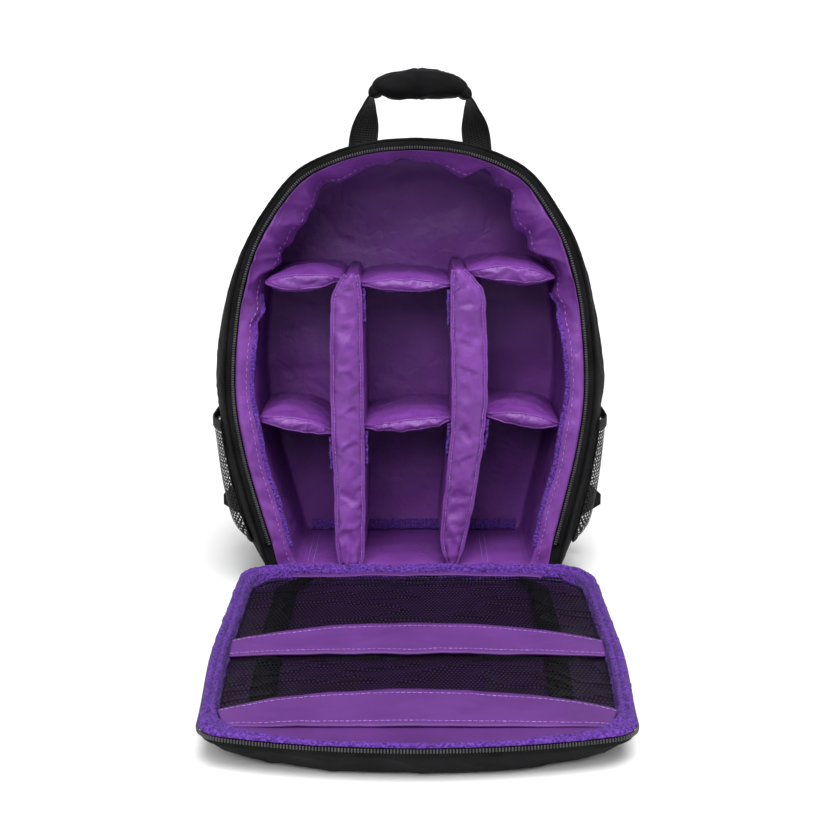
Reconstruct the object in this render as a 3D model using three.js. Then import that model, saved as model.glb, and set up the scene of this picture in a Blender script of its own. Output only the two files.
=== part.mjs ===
import * as THREE from 'three';
import { mergeVertices } from 'three/addons/utils/BufferGeometryUtils.js';

// A small camera backpack that stands on its base. Its front panel is unzipped and laid out flat before it,
// so the padded lining with its movable dividers shows.
// Millimetres. X runs left to right, Y from the opening into the bag, and Z up. The origin is on the floor,
// under the middle of the body.

// Body
const HEIGHT = 333;
const DEPTH = 116;
const RIM_HALF = 132;
const BELLY_HALF = 144;
const BACK_INSET = 13;
const SWAY = -4.5;
const SHELL_WALL = 3;
const RIM_FLANGE = 6;
const GAP = 0.3;

// Lining
const FLOOR_TOP = 22;
const BACK_PAD = 10;
const FACING = 11.5;
const ROOF_PAD = 7;
const LIP_DEPTH = 9;

// Zip on the body
const TAPE_WIDTH = 5;
const TAPE_THICK = 1.2;
const COIL_WIDTH = 2.2;
const COIL_HEIGHT = 1.3;

// Dividers and shelves
const DIVIDER_THICK = 23;
const DIVIDER_CROWN = 1.5;
const CELL_RECESS = 7;
const SHELF_THICK = 17;
const SHELF_SEAM = 2.6;
const SHELF_CROWN = 2;
const TAB_THICK = 1.6;
const TAB_HEIGHT = 24;
const TAB_DEPTH = 20;

// Front panel
const PANEL_HALF = 127;
const PANEL_LENGTH = 309;
const PANEL_SHIFT = 0.8;
const PANEL_RISE = 22;
const PANEL_WALL = 3;
const PANEL_BOW = 17;
const PANEL_UNDERCUT = 18;
const PANEL_TAPER = 0.055;
const PAD_TOP = 14;
const HINGE_THICK = 1.6;
const MESH_THICK = 1.2;
const BAND_THICK = 1.6;
const BAND_WIDTH = 31;
const BAND_SWEEP = 12;

// Side pockets
const POCKET_HEIGHT = 92;
const POCKET_BASE = 38;
const POCKET_DEPTH = 68;
const POCKET_SWELL_LEFT = 8;
const POCKET_SWELL_RIGHT = 7;

// Grab handle
const WEB_WIDTH = 22;
const WEB_THICK = 2;
const HANDLE_SPAN = 91;
const HANDLE_RISE = 60;
const GRIP_DEPTH = 27;
const GRIP_THICK = 19;
const GRIP_END_THICK = 9;

// Shoulder straps
const STRAP_WIDTH = 58;
const STRAP_THICK = 9;
const STRAP_TOP = HEIGHT - 19;
const STRAP_END = 120;
const STRAP_SPREAD = 40;
const STRAP_STANDOFF = 26;
const STRAP_WEB_WIDTH = 25;
const BUCKLE_HEIGHT = 30;
const BUCKLE_THICK = 5;
const STRAP_TAIL = 45;
const TAB_REACH = 26;

const RIM_Y = -DEPTH / 2;
const BACK_Y = DEPTH / 2;

// The egg-shaped front view of the body, from the floor up. Heights are shares of the body's height, and
// widths are shares of its half width at the rim and at the belly.
const EGG = [
  { height: 0.0, rim: 0.74, belly: 0.7 },
  { height: 0.03, rim: 0.785, belly: 0.75 },
  { height: 0.08, rim: 0.806, belly: 0.815 },
  { height: 0.12, rim: 0.833, belly: 0.858 },
  { height: 0.22, rim: 0.898, belly: 0.928 },
  { height: 0.31, rim: 0.951, belly: 0.966 },
  { height: 0.42, rim: 0.994, belly: 0.992 },
  { height: 0.5, rim: 1.0, belly: 1.0 },
  { height: 0.56, rim: 0.989, belly: 0.978 },
  { height: 0.65, rim: 0.962, belly: 0.937 },
  { height: 0.73, rim: 0.915, belly: 0.88 },
  { height: 0.8, rim: 0.85, belly: 0.81 },
  { height: 0.86, rim: 0.762, belly: 0.72 },
  { height: 0.93, rim: 0.62, belly: 0.58 },
  { height: 0.975, rim: 0.4, belly: 0.375 },
  { height: 0.995, rim: 0.19, belly: 0.18 },
  { height: 1.0, rim: 0.0, belly: 0.0 },
];

// Gathers of the loose lining round the opening: the lip's width, as a share of FACING, at each turn from the
// top of the arch. Minus is to the left.
const GATHERS = [
  { turn: -180, width: 1.0 },
  { turn: -66, width: 0.95 },
  { turn: -57, width: 0.8 },
  { turn: -50, width: 1.25 },
  { turn: -43, width: 1.55 },
  { turn: -38, width: 1.6 },
  { turn: -34, width: 1.35 },
  { turn: -26, width: 1.1 },
  { turn: -18, width: 1.15 },
  { turn: -10, width: 0.8 },
  { turn: 0, width: 0.75 },
  { turn: 7, width: 0.9 },
  { turn: 13, width: 1.4 },
  { turn: 19, width: 0.6 },
  { turn: 25, width: 1.1 },
  { turn: 30, width: 0.7 },
  { turn: 34, width: 1.75 },
  { turn: 39, width: 1.95 },
  { turn: 45, width: 1.6 },
  { turn: 51, width: 1.15 },
  { turn: 56, width: 0.8 },
  { turn: 66, width: 1.1 },
  { turn: 180, width: 1.0 },
];

const COLOURS = {
  black_fabric: { color: 0x141416, roughness: 0.85 },
  black_webbing: { color: 0x101012, roughness: 0.8 },
  black_mesh: { color: 0x0d0d0f, roughness: 0.7 },
  purple_nylon: { color: 0x6b3a92, roughness: 0.5 },
  purple_loop: { color: 0x4f2bb0, roughness: 0.95 },
  zip_black: { color: 0x18181a, roughness: 0.45 },
  plastic_black: { color: 0x121214, roughness: 0.4 },
};

const materials = Object.fromEntries(
  Object.entries(COLOURS).map(([name, look]) => [
    name,
    new THREE.MeshStandardMaterial({ ...look, metalness: 0 }),
  ]),
);

const backpack = new THREE.Group();

function add(name, geometry, material) {
  const mesh = new THREE.Mesh(geometry, materials[material]);
  mesh.name = name;
  backpack.add(mesh);
  return mesh;
}

const lerp = THREE.MathUtils.lerp;
const clamp = THREE.MathUtils.clamp;
const smooth = (x) => THREE.MathUtils.smoothstep(x, 0, 1);

// The value of one column of a table at a place along another column.
function lookUp(table, along, at, column) {
  const next = table.findIndex((row) => row[along] >= at);
  if (next <= 0) return table[next < 0 ? table.length - 1 : 0][column];
  const [a, b] = [table[next - 1], table[next]];
  return lerp(a[column], b[column], (at - a[along]) / (b[along] - a[along]));
}

// A closed surface through rings of points that match one to one. It closes on itself, or has a cap on its
// first and its last ring.
function loft(rings, { loop = false } = {}) {
  const count = rings[0].length;
  const points = rings.flat();
  const faces = [];
  const bands = loop ? rings.length : rings.length - 1;
  for (let r = 0; r < bands; r++) {
    const here = r * count;
    const there = ((r + 1) % rings.length) * count;
    for (let k = 0; k < count; k++) {
      const next = (k + 1) % count;
      faces.push(here + k, there + k, there + next, here + k, there + next, here + next);
    }
  }
  if (!loop) {
    for (const [ring, start, turned] of [
      [rings[0], 0, true],
      [rings.at(-1), (rings.length - 1) * count, false],
    ]) {
      const middle = ring.reduce((sum, p) => sum.add(p), new THREE.Vector3()).divideScalar(count);
      const centre = points.push(middle) - 1;
      for (let k = 0; k < count; k++) {
        const edge = [start + k, start + ((k + 1) % count)];
        faces.push(...(turned ? edge : edge.reverse()), centre);
      }
    }
  }
  const geometry = new THREE.BufferGeometry().setFromPoints(points);
  geometry.setIndex(faces);
  return facingOut(geometry);
}

// Turns the faces round if they enclose a negative volume.
function facingOut(geometry) {
  const position = geometry.getAttribute('position');
  const index = geometry.index.array;
  const [a, b, c] = [new THREE.Vector3(), new THREE.Vector3(), new THREE.Vector3()];
  let volume = 0;
  for (let i = 0; i < index.length; i += 3) {
    a.fromBufferAttribute(position, index[i]);
    b.fromBufferAttribute(position, index[i + 1]);
    c.fromBufferAttribute(position, index[i + 2]);
    volume += a.dot(b.cross(c));
  }
  if (volume < 0) {
    for (let i = 0; i < index.length; i += 3) {
      [index[i + 1], index[i + 2]] = [index[i + 2], index[i + 1]];
    }
  }
  geometry.computeVertexNormals();
  return geometry;
}

// A box divided into a few segments, with each vertex moved to place(across, along, up), each from -1 to 1.
function cushion(segments, place) {
  const box = new THREE.BoxGeometry(2, 2, 2, ...segments);
  box.deleteAttribute('normal');
  box.deleteAttribute('uv');
  const geometry = mergeVertices(box);
  const position = geometry.getAttribute('position');
  const point = new THREE.Vector3();
  for (let i = 0; i < position.count; i++) {
    point.fromBufferAttribute(position, i);
    position.setXYZ(i, ...place(point.x, point.y, point.z).toArray());
  }
  return facingOut(geometry);
}

// A strip swept along a curve. wide(share) is the way its width points, and section(share) lists the corners
// of its section as [across, out].
function sweep(curve, steps, wide, section) {
  return Array.from({ length: steps + 1 }, (_, i) => {
    const share = i / steps;
    const middle = curve.getPointAt(share);
    const tangent = curve.getTangentAt(share);
    const across = wide(share);
    across.addScaledVector(tangent, -across.dot(tangent)).normalize();
    const out = new THREE.Vector3().crossVectors(across, tangent).normalize();
    return section(share).map(([a, b]) =>
      middle.clone().addScaledVector(across, a).addScaledVector(out, b),
    );
  });
}

const level = () => new THREE.Vector3(1, 0, 0);

const flatSection = (width, thick) => [
  [-width / 2, -thick / 2],
  [width / 2, -thick / 2],
  [width / 2, thick / 2],
  [-width / 2, thick / 2],
];

const softSection = (width, thick) => [
  [-width / 2, -thick / 4],
  [-width * 0.42, -thick / 2],
  [width * 0.42, -thick / 2],
  [width / 2, -thick / 4],
  [width / 2, thick / 4],
  [width * 0.42, thick / 2],
  [-width * 0.42, thick / 2],
  [-width / 2, thick / 4],
];

// Body outline
// The points of a ring, from the middle of the base round to the right. Each has its height as a share and
// its distance from the middle as a share of the rim's and of the belly's half width. The top of the arch
// takes more of the points, for its gathers.
const SIDE_POINTS = 28;

function outlinePoints() {
  const side = new THREE.CatmullRomCurve3(
    EGG.map((row) => new THREE.Vector3(row.rim, row.height, row.belly)),
    false,
    'centripetal',
  );
  const fine = Array.from({ length: 401 }, (_, i) => side.getPoint(i / 400));
  const run = [0];
  for (let i = 1; i < fine.length; i++) {
    const [a, b] = [fine[i - 1], fine[i]];
    const step = Math.hypot((b.x - a.x) * RIM_HALF, (b.y - a.y) * HEIGHT);
    run.push(run[i - 1] + step * (b.y > 0.7 ? 1.9 : 1));
  }
  const right = Array.from({ length: SIDE_POINTS }, (_, k) => {
    const at = (run.at(-1) * k) / SIDE_POINTS;
    const p = fine[run.findIndex((length) => length >= at)];
    return { rim: p.x, belly: p.z, height: p.y };
  });
  const left = right.map((p) => ({ rim: -p.rim, belly: -p.belly, height: p.height })).reverse();
  return [{ rim: 0, belly: 0, height: 0 }, ...right, { rim: 0, belly: 0, height: 1 }, ...left];
}

const OUTLINE = outlinePoints();

const sway = (z) => SWAY * Math.sqrt(Math.sin(Math.PI * clamp(z / HEIGHT, 0, 1)));

// One ring of the body at a depth. growth runs from 0, the rim's outline, to 1, the belly's. inset is how far
// the ring lies inside that outline at the sides, the top and the base. more(point) adds to it at a point.
function bodyRing(y, { growth = 0, side = 0, top = side, base = side, more = () => 0 } = {}) {
  const flat = OUTLINE.map((p) => {
    const x = lerp(p.rim * RIM_HALF, p.belly * BELLY_HALF, growth);
    return new THREE.Vector2(x, p.height * HEIGHT);
  });
  return flat.map((p, k) => {
    const before = p.clone().sub(flat.at(k - 1)).normalize();
    const after = flat[(k + 1) % flat.length].clone().sub(p).normalize();
    const inward = new THREE.Vector2(-before.y - after.y, before.x + after.x);
    inward.divideScalar(1 + before.dot(after));
    const tilt = inward.y / inward.length();
    const inset = lerp(side, tilt < 0 ? top : base, Math.abs(tilt)) + more(p);
    const q = p.clone().addScaledVector(inward, inset);
    return new THREE.Vector3(q.x + sway(q.y), y, q.y);
  });
}

// X at which a ring's left (-1) or right (+1) side passes a height.
function ringX(ring, side, z) {
  const crossings = ring.flatMap((p, k) => {
    const q = ring[(k + 1) % ring.length];
    if (p.z === q.z || (p.z - z) * (q.z - z) > 0) return [];
    return [lerp(p.x, q.x, (z - p.z) / (q.z - p.z))];
  });
  return side < 0 ? Math.min(...crossings) : Math.max(...crossings);
}

// Outer shell: the black cloth body, a hollow bowl whose front edge is turned in and carries the zip.
// Each section's depth is a share from the rim to the back, and its growth a share from the rim's outline to
// the belly's.
const SHELL_SECTIONS = [
  { depth: 0.0, growth: 0.0 },
  { depth: 0.1, growth: 0.6 },
  { depth: 0.3, growth: 1.0 },
  { depth: 0.68, growth: 1.0 },
  { depth: 0.88, growth: 0.7 },
  { depth: 1.0, growth: 0.5 },
];

const shellGrowth = (depth) => lookUp(SHELL_SECTIONS, 'depth', depth, 'growth');

function shellRing(depth, inset, y = lerp(RIM_Y, BACK_Y, depth)) {
  const backward = smooth((depth - 0.85) / 0.15) * BACK_INSET;
  return bodyRing(y, {
    growth: shellGrowth(depth),
    side: inset + backward,
    top: inset + backward * 0.8,
    base: inset,
  });
}

// What is sewn on the shell's rounded side stands this far off it, for the shell's flat facets.
const SHELL_CLEARANCE = 1;

// X of the shell's outside at a depth and a height.
function shellX(side, y, z) {
  return ringX(shellRing(clamp((y - RIM_Y) / DEPTH, 0, 1), 0), side, z);
}

function makeShell() {
  return loft([
    ...[1, 0.95, 0.88, 0.68, 0.3, 0.1, 0].map((depth) => shellRing(depth, 0)),
    shellRing(0, RIM_FLANGE),
    shellRing(0, RIM_FLANGE, RIM_Y + SHELL_WALL * 0.8),
    shellRing(0, SHELL_WALL, RIM_Y + SHELL_WALL),
    ...[0.1, 0.3, 0.68, 0.88].map((depth) => shellRing(depth, SHELL_WALL)),
    shellRing(1, SHELL_WALL, BACK_Y - SHELL_WALL),
  ]);
}

// Lining: the padded inner bag, with a gathered lip round the opening.
const LINING_BACK_Y = BACK_Y - SHELL_WALL - BACK_PAD;
const LIP_EDGE = RIM_FLANGE + GAP;
const ROOM = { side: LIP_EDGE + FACING, top: LIP_EDGE + ROOF_PAD, base: FLOOR_TOP };

function lipMore(p) {
  const turn = THREE.MathUtils.radToDeg(Math.atan2(p.x, p.y - HEIGHT / 2));
  const upper = smooth((p.y / HEIGHT - 0.5) * 6);
  const plain = lerp(FACING, ROOF_PAD, upper * clamp(1 - Math.abs(turn) / 90, 0, 1));
  return upper * (lookUp(GATHERS, 'turn', turn, 'width') * FACING - plain);
}

const room = (y, less = 0) =>
  bodyRing(y, { side: ROOM.side + less, top: ROOM.top + less, base: ROOM.base });

function makeLining() {
  const outer = (y, growth, side, base = SHELL_WALL + GAP * 2) => bodyRing(y, { growth, side, base });
  const lip = (y, share) =>
    bodyRing(y, { side: ROOM.side, top: ROOM.top, base: ROOM.base, more: (p) => lipMore(p) * share });
  return loft([
    outer(BACK_Y - SHELL_WALL - GAP * 2, 0.4, BACK_INSET + SHELL_WALL + 3, SHELL_WALL * 2),
    outer(BACK_Y - SHELL_WALL * 5, 0.5, SHELL_WALL + 3),
    outer(lerp(RIM_Y, BACK_Y, 0.3), 0.5, SHELL_WALL + 1.6),
    outer(RIM_Y + SHELL_WALL * 2.4, 0, SHELL_WALL + 1.6),
    bodyRing(RIM_Y + SHELL_WALL + 1, { side: LIP_EDGE }),
    bodyRing(RIM_Y - GAP, { side: LIP_EDGE }),
    lip(RIM_Y + LIP_DEPTH * 0.35, 1),
    lip(RIM_Y + LIP_DEPTH, 0.8),
    room(RIM_Y + LIP_DEPTH * 1.5),
    room(LINING_BACK_Y - BACK_PAD),
    room(LINING_BACK_Y, 3),
  ]);
}

// X of the lining's left (-1) or right (+1) inner wall at a depth and a height, with a little to spare.
const ROOM_RINGS = [room(0, 1), room(0, 4)];

function wallX(side, y, z) {
  const share = clamp((y - LINING_BACK_Y + BACK_PAD) / BACK_PAD, 0, 1);
  return lerp(ringX(ROOM_RINGS[0], side, z), ringX(ROOM_RINGS[1], side, z), share);
}

// Zip on the body: a tape on the turned-in edge, with its coil near the lining. It ends beside the hinge.
const ZIP_END = 24;

function makeBodyZip() {
  const middle = RIM_FLANGE / 2;
  const profile = [
    [-TAPE_WIDTH / 2, 0],
    [TAPE_WIDTH / 2, 0],
    [TAPE_WIDTH / 2, TAPE_THICK],
    [TAPE_WIDTH / 2 - COIL_WIDTH * 0.3, TAPE_THICK + COIL_HEIGHT],
    [TAPE_WIDTH / 2 - COIL_WIDTH * 0.8, TAPE_THICK + COIL_HEIGHT],
    [TAPE_WIDTH / 2 - COIL_WIDTH, TAPE_THICK],
    [-TAPE_WIDTH / 2, TAPE_THICK],
  ];
  const lines = profile.map(([across, out]) => bodyRing(RIM_Y - GAP - out, { side: middle + across }));
  const kept = OUTLINE.map((p, k) => k).filter((k) => OUTLINE[k].height * HEIGHT > ZIP_END);
  return loft(kept.map((k) => lines.map((line) => line[k])));
}

// Vertical dividers. Each row gives, from the floor up, the share of the divider's height, its middle as a
// share of the rim's half width, and its thickness as a share of DIVIDER_THICK.
const DIVIDERS = {
  divider_left: [
    { height: 0.0, middle: -0.37, thick: 0.62 },
    { height: 0.04, middle: -0.37, thick: 0.85 },
    { height: 0.22, middle: -0.37, thick: 0.93 },
    { height: 0.55, middle: -0.378, thick: 1.0 },
    { height: 0.9, middle: -0.378, thick: 0.93 },
    { height: 0.96, middle: -0.367, thick: 0.7 },
    { height: 1.0, middle: -0.35, thick: 0.3 },
  ],
  divider_right: [
    { height: 0.0, middle: 0.206, thick: 0.15 },
    { height: 0.11, middle: 0.213, thick: 0.8 },
    { height: 0.27, middle: 0.252, thick: 0.95 },
    { height: 0.55, middle: 0.295, thick: 1.08 },
    { height: 0.9, middle: 0.281, thick: 1.05 },
    { height: 0.96, middle: 0.26, thick: 0.75 },
    { height: 1.0, middle: 0.23, thick: 0.3 },
  ],
};
const DIVIDER_TOPS = { divider_left: 0.716, divider_right: 0.727 };
const CELL_FRONT = RIM_Y + CELL_RECESS;
const CELL_BACK = LINING_BACK_Y - GAP;
const DIVIDER_BASE = FLOOR_TOP + GAP;

// The half thickness of a divider falls a little towards its front and back edges.
const dividerEdge = (y) => 1 - 0.14 * Math.abs((2 * (y - CELL_FRONT)) / (CELL_BACK - CELL_FRONT) - 1) ** 4;

// X of a divider's left (-1) or right (+1) face at a depth and a height.
function dividerX(name, side, y, z) {
  const top = DIVIDER_TOPS[name] * HEIGHT;
  const share = clamp((z - DIVIDER_BASE) / (top - DIVIDER_BASE), 0, 1);
  const middle = lookUp(DIVIDERS[name], 'height', share, 'middle') * RIM_HALF;
  const thick = lookUp(DIVIDERS[name], 'height', share, 'thick') * DIVIDER_THICK;
  return middle + (side * thick * dividerEdge(y)) / 2;
}

function makeDivider(name) {
  const rows = DIVIDERS[name].map((row) => row.height);
  const heights = [0, 0.04, 0.11, 0.27, 0.41, 0.55, 0.72, 0.9, 0.96, 1];
  const steps = [...new Set([...rows, ...heights])].sort((a, b) => a - b);
  return cushion([2, 4, steps.length - 1], (across, along, up) => {
    const share = steps[Math.round(((up + 1) / 2) * (steps.length - 1))];
    const z = lerp(DIVIDER_BASE, DIVIDER_TOPS[name] * HEIGHT, share);
    const crown = DIVIDER_CROWN * (1 - across * across);
    const y = along < -0.99 ? CELL_FRONT - crown : lerp(CELL_FRONT, CELL_BACK, (along + 1) / 2);
    const [left, right] = [-1, 1].map((side) => dividerX(name, side, y, z));
    return new THREE.Vector3(lerp(left, right, (across + 1) / 2), y, z);
  });
}

// Shelves between the dividers and the side walls. ends names what each end meets, from the left. left and
// right are the heights of the two seamed ends, as shares of the body's height. sag is how far the middle
// hangs below or stands above the line between them, and thick is the thickness in the middle as a share of
// SHELF_THICK.
const SHELVES = [
  {
    name: 'shelf_top_left',
    ends: ['wall', 'divider_left'],
    left: 0.698,
    right: 0.704,
    sag: 0,
    thick: 1,
  },
  {
    name: 'shelf_top_middle',
    ends: ['divider_left', 'divider_right'],
    left: 0.695,
    right: 0.692,
    sag: 0,
    thick: 0.7,
  },
  {
    name: 'shelf_top_right',
    ends: ['divider_right', 'wall'],
    left: 0.718,
    right: 0.709,
    sag: 0.004,
    thick: 1,
  },
  {
    name: 'shelf_low_left',
    ends: ['wall', 'divider_left'],
    left: 0.396,
    right: 0.366,
    sag: 0.006,
    thick: 0.9,
  },
  {
    name: 'shelf_low_middle',
    ends: ['divider_left', 'divider_right'],
    left: 0.379,
    right: 0.397,
    sag: -0.003,
    thick: 0.7,
  },
  {
    name: 'shelf_low_right',
    ends: ['divider_right', 'wall'],
    left: 0.406,
    right: 0.383,
    sag: 0.003,
    thick: 0.85,
  },
];
const SHELF_CLEARANCE = 0.8;

const sideOf = (neighbour, side, y, z) =>
  neighbour === 'wall' ? wallX(-side, y, z) : dividerX(neighbour, side, y, z);

function makeShelf({ ends, left, right, sag, thick }) {
  return cushion([7, 3, 2], (across, along, up) => {
    const share = (across + 1) / 2;
    const middle = HEIGHT * (lerp(left, right, share) + sag * (1 - across * across));
    const lens = 1 - Math.abs(across) ** 2.4;
    const puff = 1 - 0.5 * ((along + 1) / 2) ** 2;
    const height = lerp(SHELF_SEAM, SHELF_THICK * thick, lens * puff);
    const front = CELL_FRONT + CELL_RECESS * 0.8 * across ** 4;
    const crown = along < -0.99 ? SHELF_CROWN * lens * (1 - up * up) : 0;
    const y = lerp(front, CELL_BACK, (along + 1) / 2) - crown;
    const tuck = along < -0.99 ? 0.62 : 1;
    const z = middle + (up * height * tuck) / 2;
    const start = sideOf(ends[0], 1, y, z) + SHELF_CLEARANCE;
    const end = sideOf(ends[1], -1, y, z) - SHELF_CLEARANCE;
    return new THREE.Vector3(lerp(start, end, share), y, z);
  });
}

// Hook tabs: the stitched ends of the shelves, folded down flat against a divider. Each lies on one face of
// its divider just below the shelf end named.
const TABS = [
  { name: 'tab_top_middle_left', on: 'divider_left', side: 1, shelf: 'shelf_top_middle', end: 'left' },
  { name: 'tab_top_middle_right', on: 'divider_right', side: -1, shelf: 'shelf_top_middle', end: 'right' },
  { name: 'tab_low_left', on: 'divider_left', side: -1, shelf: 'shelf_low_left', end: 'right' },
  { name: 'tab_low_middle_left', on: 'divider_left', side: 1, shelf: 'shelf_low_middle', end: 'left' },
  { name: 'tab_low_middle_right', on: 'divider_right', side: -1, shelf: 'shelf_low_middle', end: 'right' },
  { name: 'tab_low_right', on: 'divider_right', side: 1, shelf: 'shelf_low_right', end: 'left' },
];

function makeTab({ on, side, shelf, end }) {
  const top = HEIGHT * SHELVES.find((row) => row.name === shelf)[end] - SHELF_SEAM * 1.3;
  return cushion([1, 2, 4], (across, along, up) => {
    const y = lerp(CELL_FRONT + 2, CELL_FRONT + 2 + TAB_DEPTH, (along + 1) / 2);
    const z = lerp(top - TAB_HEIGHT, top, (up + 1) / 2);
    const out = GAP + (TAB_THICK * (across + 1)) / 2;
    return new THREE.Vector3(dividerX(on, side, y, z) + side * out, y, z);
  });
}

// Front panel
// Its plan is a rounded rectangle whose near edge is bowed, given by how far it lies inside the rim.
const HINGE_Y = RIM_Y - GAP * 3 - HINGE_THICK;
const NEAR_Y = HINGE_Y - PANEL_LENGTH;
const FAR_RADIUS = 34;
const NEAR_RADIUS = 20;

// The panel narrows towards its near edge.
const panelTaper = (distance) => 1 - PANEL_TAPER * smooth((distance / PANEL_LENGTH - 0.5) * 2.2);

function panelRing(inset, z, hinge = inset) {
  const half = PANEL_HALF - inset;
  const far = HINGE_Y - hinge;
  const near = NEAR_Y + inset;
  const shoulder = near + PANEL_BOW;
  const round = NEAR_RADIUS + inset * 1.5;
  const side = [
    new THREE.LineCurve(new THREE.Vector2(0, far), new THREE.Vector2(half - FAR_RADIUS, far)),
    new THREE.QuadraticBezierCurve(
      new THREE.Vector2(half - FAR_RADIUS, far),
      new THREE.Vector2(half, far),
      new THREE.Vector2(half, far - FAR_RADIUS),
    ),
    new THREE.LineCurve(
      new THREE.Vector2(half, far - FAR_RADIUS),
      new THREE.Vector2(half, shoulder + round),
    ),
    new THREE.QuadraticBezierCurve(
      new THREE.Vector2(half, shoulder + round),
      new THREE.Vector2(half, shoulder + 2),
      new THREE.Vector2(half - round, shoulder - round * 0.16),
    ),
    new THREE.QuadraticBezierCurve(
      new THREE.Vector2(half - round, shoulder - round * 0.16),
      new THREE.Vector2(half * 0.45, near),
      new THREE.Vector2(0, near),
    ),
  ];
  const steps = [2, 5, 7, 5, 4];
  const right = side.flatMap((curve, i) => curve.getPoints(steps[i]).slice(0, -1));
  const left = right.slice(1).map((p) => new THREE.Vector2(-p.x, p.y));
  return [...right, new THREE.Vector2(0, near), ...left.reverse()].map((p) => {
    const x = p.x * panelTaper(HINGE_Y - p.y) + PANEL_SHIFT;
    return new THREE.Vector3(x, p.y, z);
  });
}

const panelLoft = (profile, options) =>
  loft(
    profile.map(({ inset, z, hinge }) => panelRing(inset, z, hinge)),
    options,
  );

function makePanelShell() {
  return panelLoft([
    { inset: PANEL_UNDERCUT, z: 0, hinge: 5 },
    { inset: PANEL_UNDERCUT * 0.55, z: PANEL_RISE * 0.18, hinge: 2 },
    { inset: PANEL_UNDERCUT * 0.2, z: PANEL_RISE * 0.55, hinge: 0.6 },
    { inset: 0, z: PANEL_RISE, hinge: 0 },
    { inset: PANEL_WALL, z: PANEL_RISE },
    { inset: PANEL_UNDERCUT * 0.2 + PANEL_WALL, z: PANEL_RISE * 0.55, hinge: PANEL_WALL + 0.6 },
    { inset: PANEL_UNDERCUT * 0.55 + PANEL_WALL, z: PANEL_RISE * 0.18 + PANEL_WALL, hinge: PANEL_WALL + 2 },
    { inset: PANEL_UNDERCUT + PANEL_WALL, z: PANEL_WALL, hinge: PANEL_WALL + 5 },
  ]);
}

// The padded inner face of the panel, in the hollow of its shell.
function makePanelPad() {
  return panelLoft([
    { inset: PANEL_UNDERCUT + PANEL_WALL + 1, z: PANEL_WALL + GAP, hinge: PANEL_WALL + 7 },
    { inset: PANEL_UNDERCUT * 0.55 + PANEL_WALL + 0.5, z: PAD_TOP * 0.6, hinge: PANEL_WALL + 4 },
    { inset: PANEL_UNDERCUT * 0.2 + PANEL_WALL + 1.6, z: PAD_TOP * 0.9, hinge: PANEL_WALL + 2 },
    { inset: PANEL_UNDERCUT * 0.2 + PANEL_WALL + 2.5, z: PAD_TOP, hinge: PANEL_WALL + 2.5 },
  ]);
}

// The edge roll: loop cloth over the rim and down inside it, a closed ring above the pad.
function makeEdgeRoll() {
  return panelLoft(
    [
      { inset: -2, z: PANEL_RISE + GAP, hinge: -1.8 },
      { inset: -1, z: PANEL_RISE + 3, hinge: -1.2 },
      { inset: 3.5, z: PANEL_RISE + 4, hinge: 3 },
      { inset: 8, z: PANEL_RISE + 1.5, hinge: 7 },
      { inset: 10.5, z: PAD_TOP + 1, hinge: 8.5 },
      { inset: 6.6, z: PAD_TOP + 1, hinge: 5 },
      { inset: 3.8, z: PANEL_RISE + GAP, hinge: 3.8 },
    ],
    { loop: true },
  );
}

// Zip on the panel: the black tape and coil outside the rim, from one hinge corner round to the other.
const ZIP_GAP = GAP * 1.5;

function makePanelZip() {
  const lean = (PANEL_UNDERCUT * 0.2) / (PANEL_RISE * 0.45);
  const profile = [
    { out: ZIP_GAP, drop: 6.2 },
    { out: ZIP_GAP, drop: 0.8 },
    { out: ZIP_GAP + TAPE_THICK + COIL_HEIGHT * 0.7, drop: 0.4 },
    { out: ZIP_GAP + TAPE_THICK + COIL_HEIGHT, drop: 1.6 },
    { out: ZIP_GAP + TAPE_THICK, drop: 2.8 },
    { out: ZIP_GAP + TAPE_THICK * 0.9, drop: 6.2 },
  ];
  const lines = profile.map(({ out, drop }) => panelRing(drop * lean - out, PANEL_RISE - drop, 0));
  const ends = 5;
  const kept = lines[0].map((_, k) => k).slice(ends, lines[0].length - ends + 1);
  return loft(kept.map((k) => lines.map((line) => line[k])));
}

// Hinge: the strip of cloth that joins the panel's far edge to the front of the body's base.
function makeHinge() {
  const half = PANEL_HALF - FAR_RADIUS - 6;
  const strip = new THREE.BoxGeometry(half * 2, HINGE_THICK, PANEL_RISE - 4);
  strip.translate(PANEL_SHIFT, HINGE_Y + GAP + HINGE_THICK / 2, PANEL_RISE / 2);
  return strip;
}

// Mesh pockets and their bands. far and near are distances from the hinge. Each edge has its height at the
// sides, how far its middle is lifted, and how far its ends sweep towards the near side.
const SHEET_EDGE = 11;
const SHEET_Z = PAD_TOP + 4.5;
const MESH_START = 13;
const MIDDLE_BAND_FAR = PANEL_LENGTH * 0.44;
const NEAR_BAND_FAR = PANEL_LENGTH * 0.796;
const NEAR_CORNER = PANEL_LENGTH * 0.83;
const UNDER = MESH_THICK + GAP;

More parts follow.
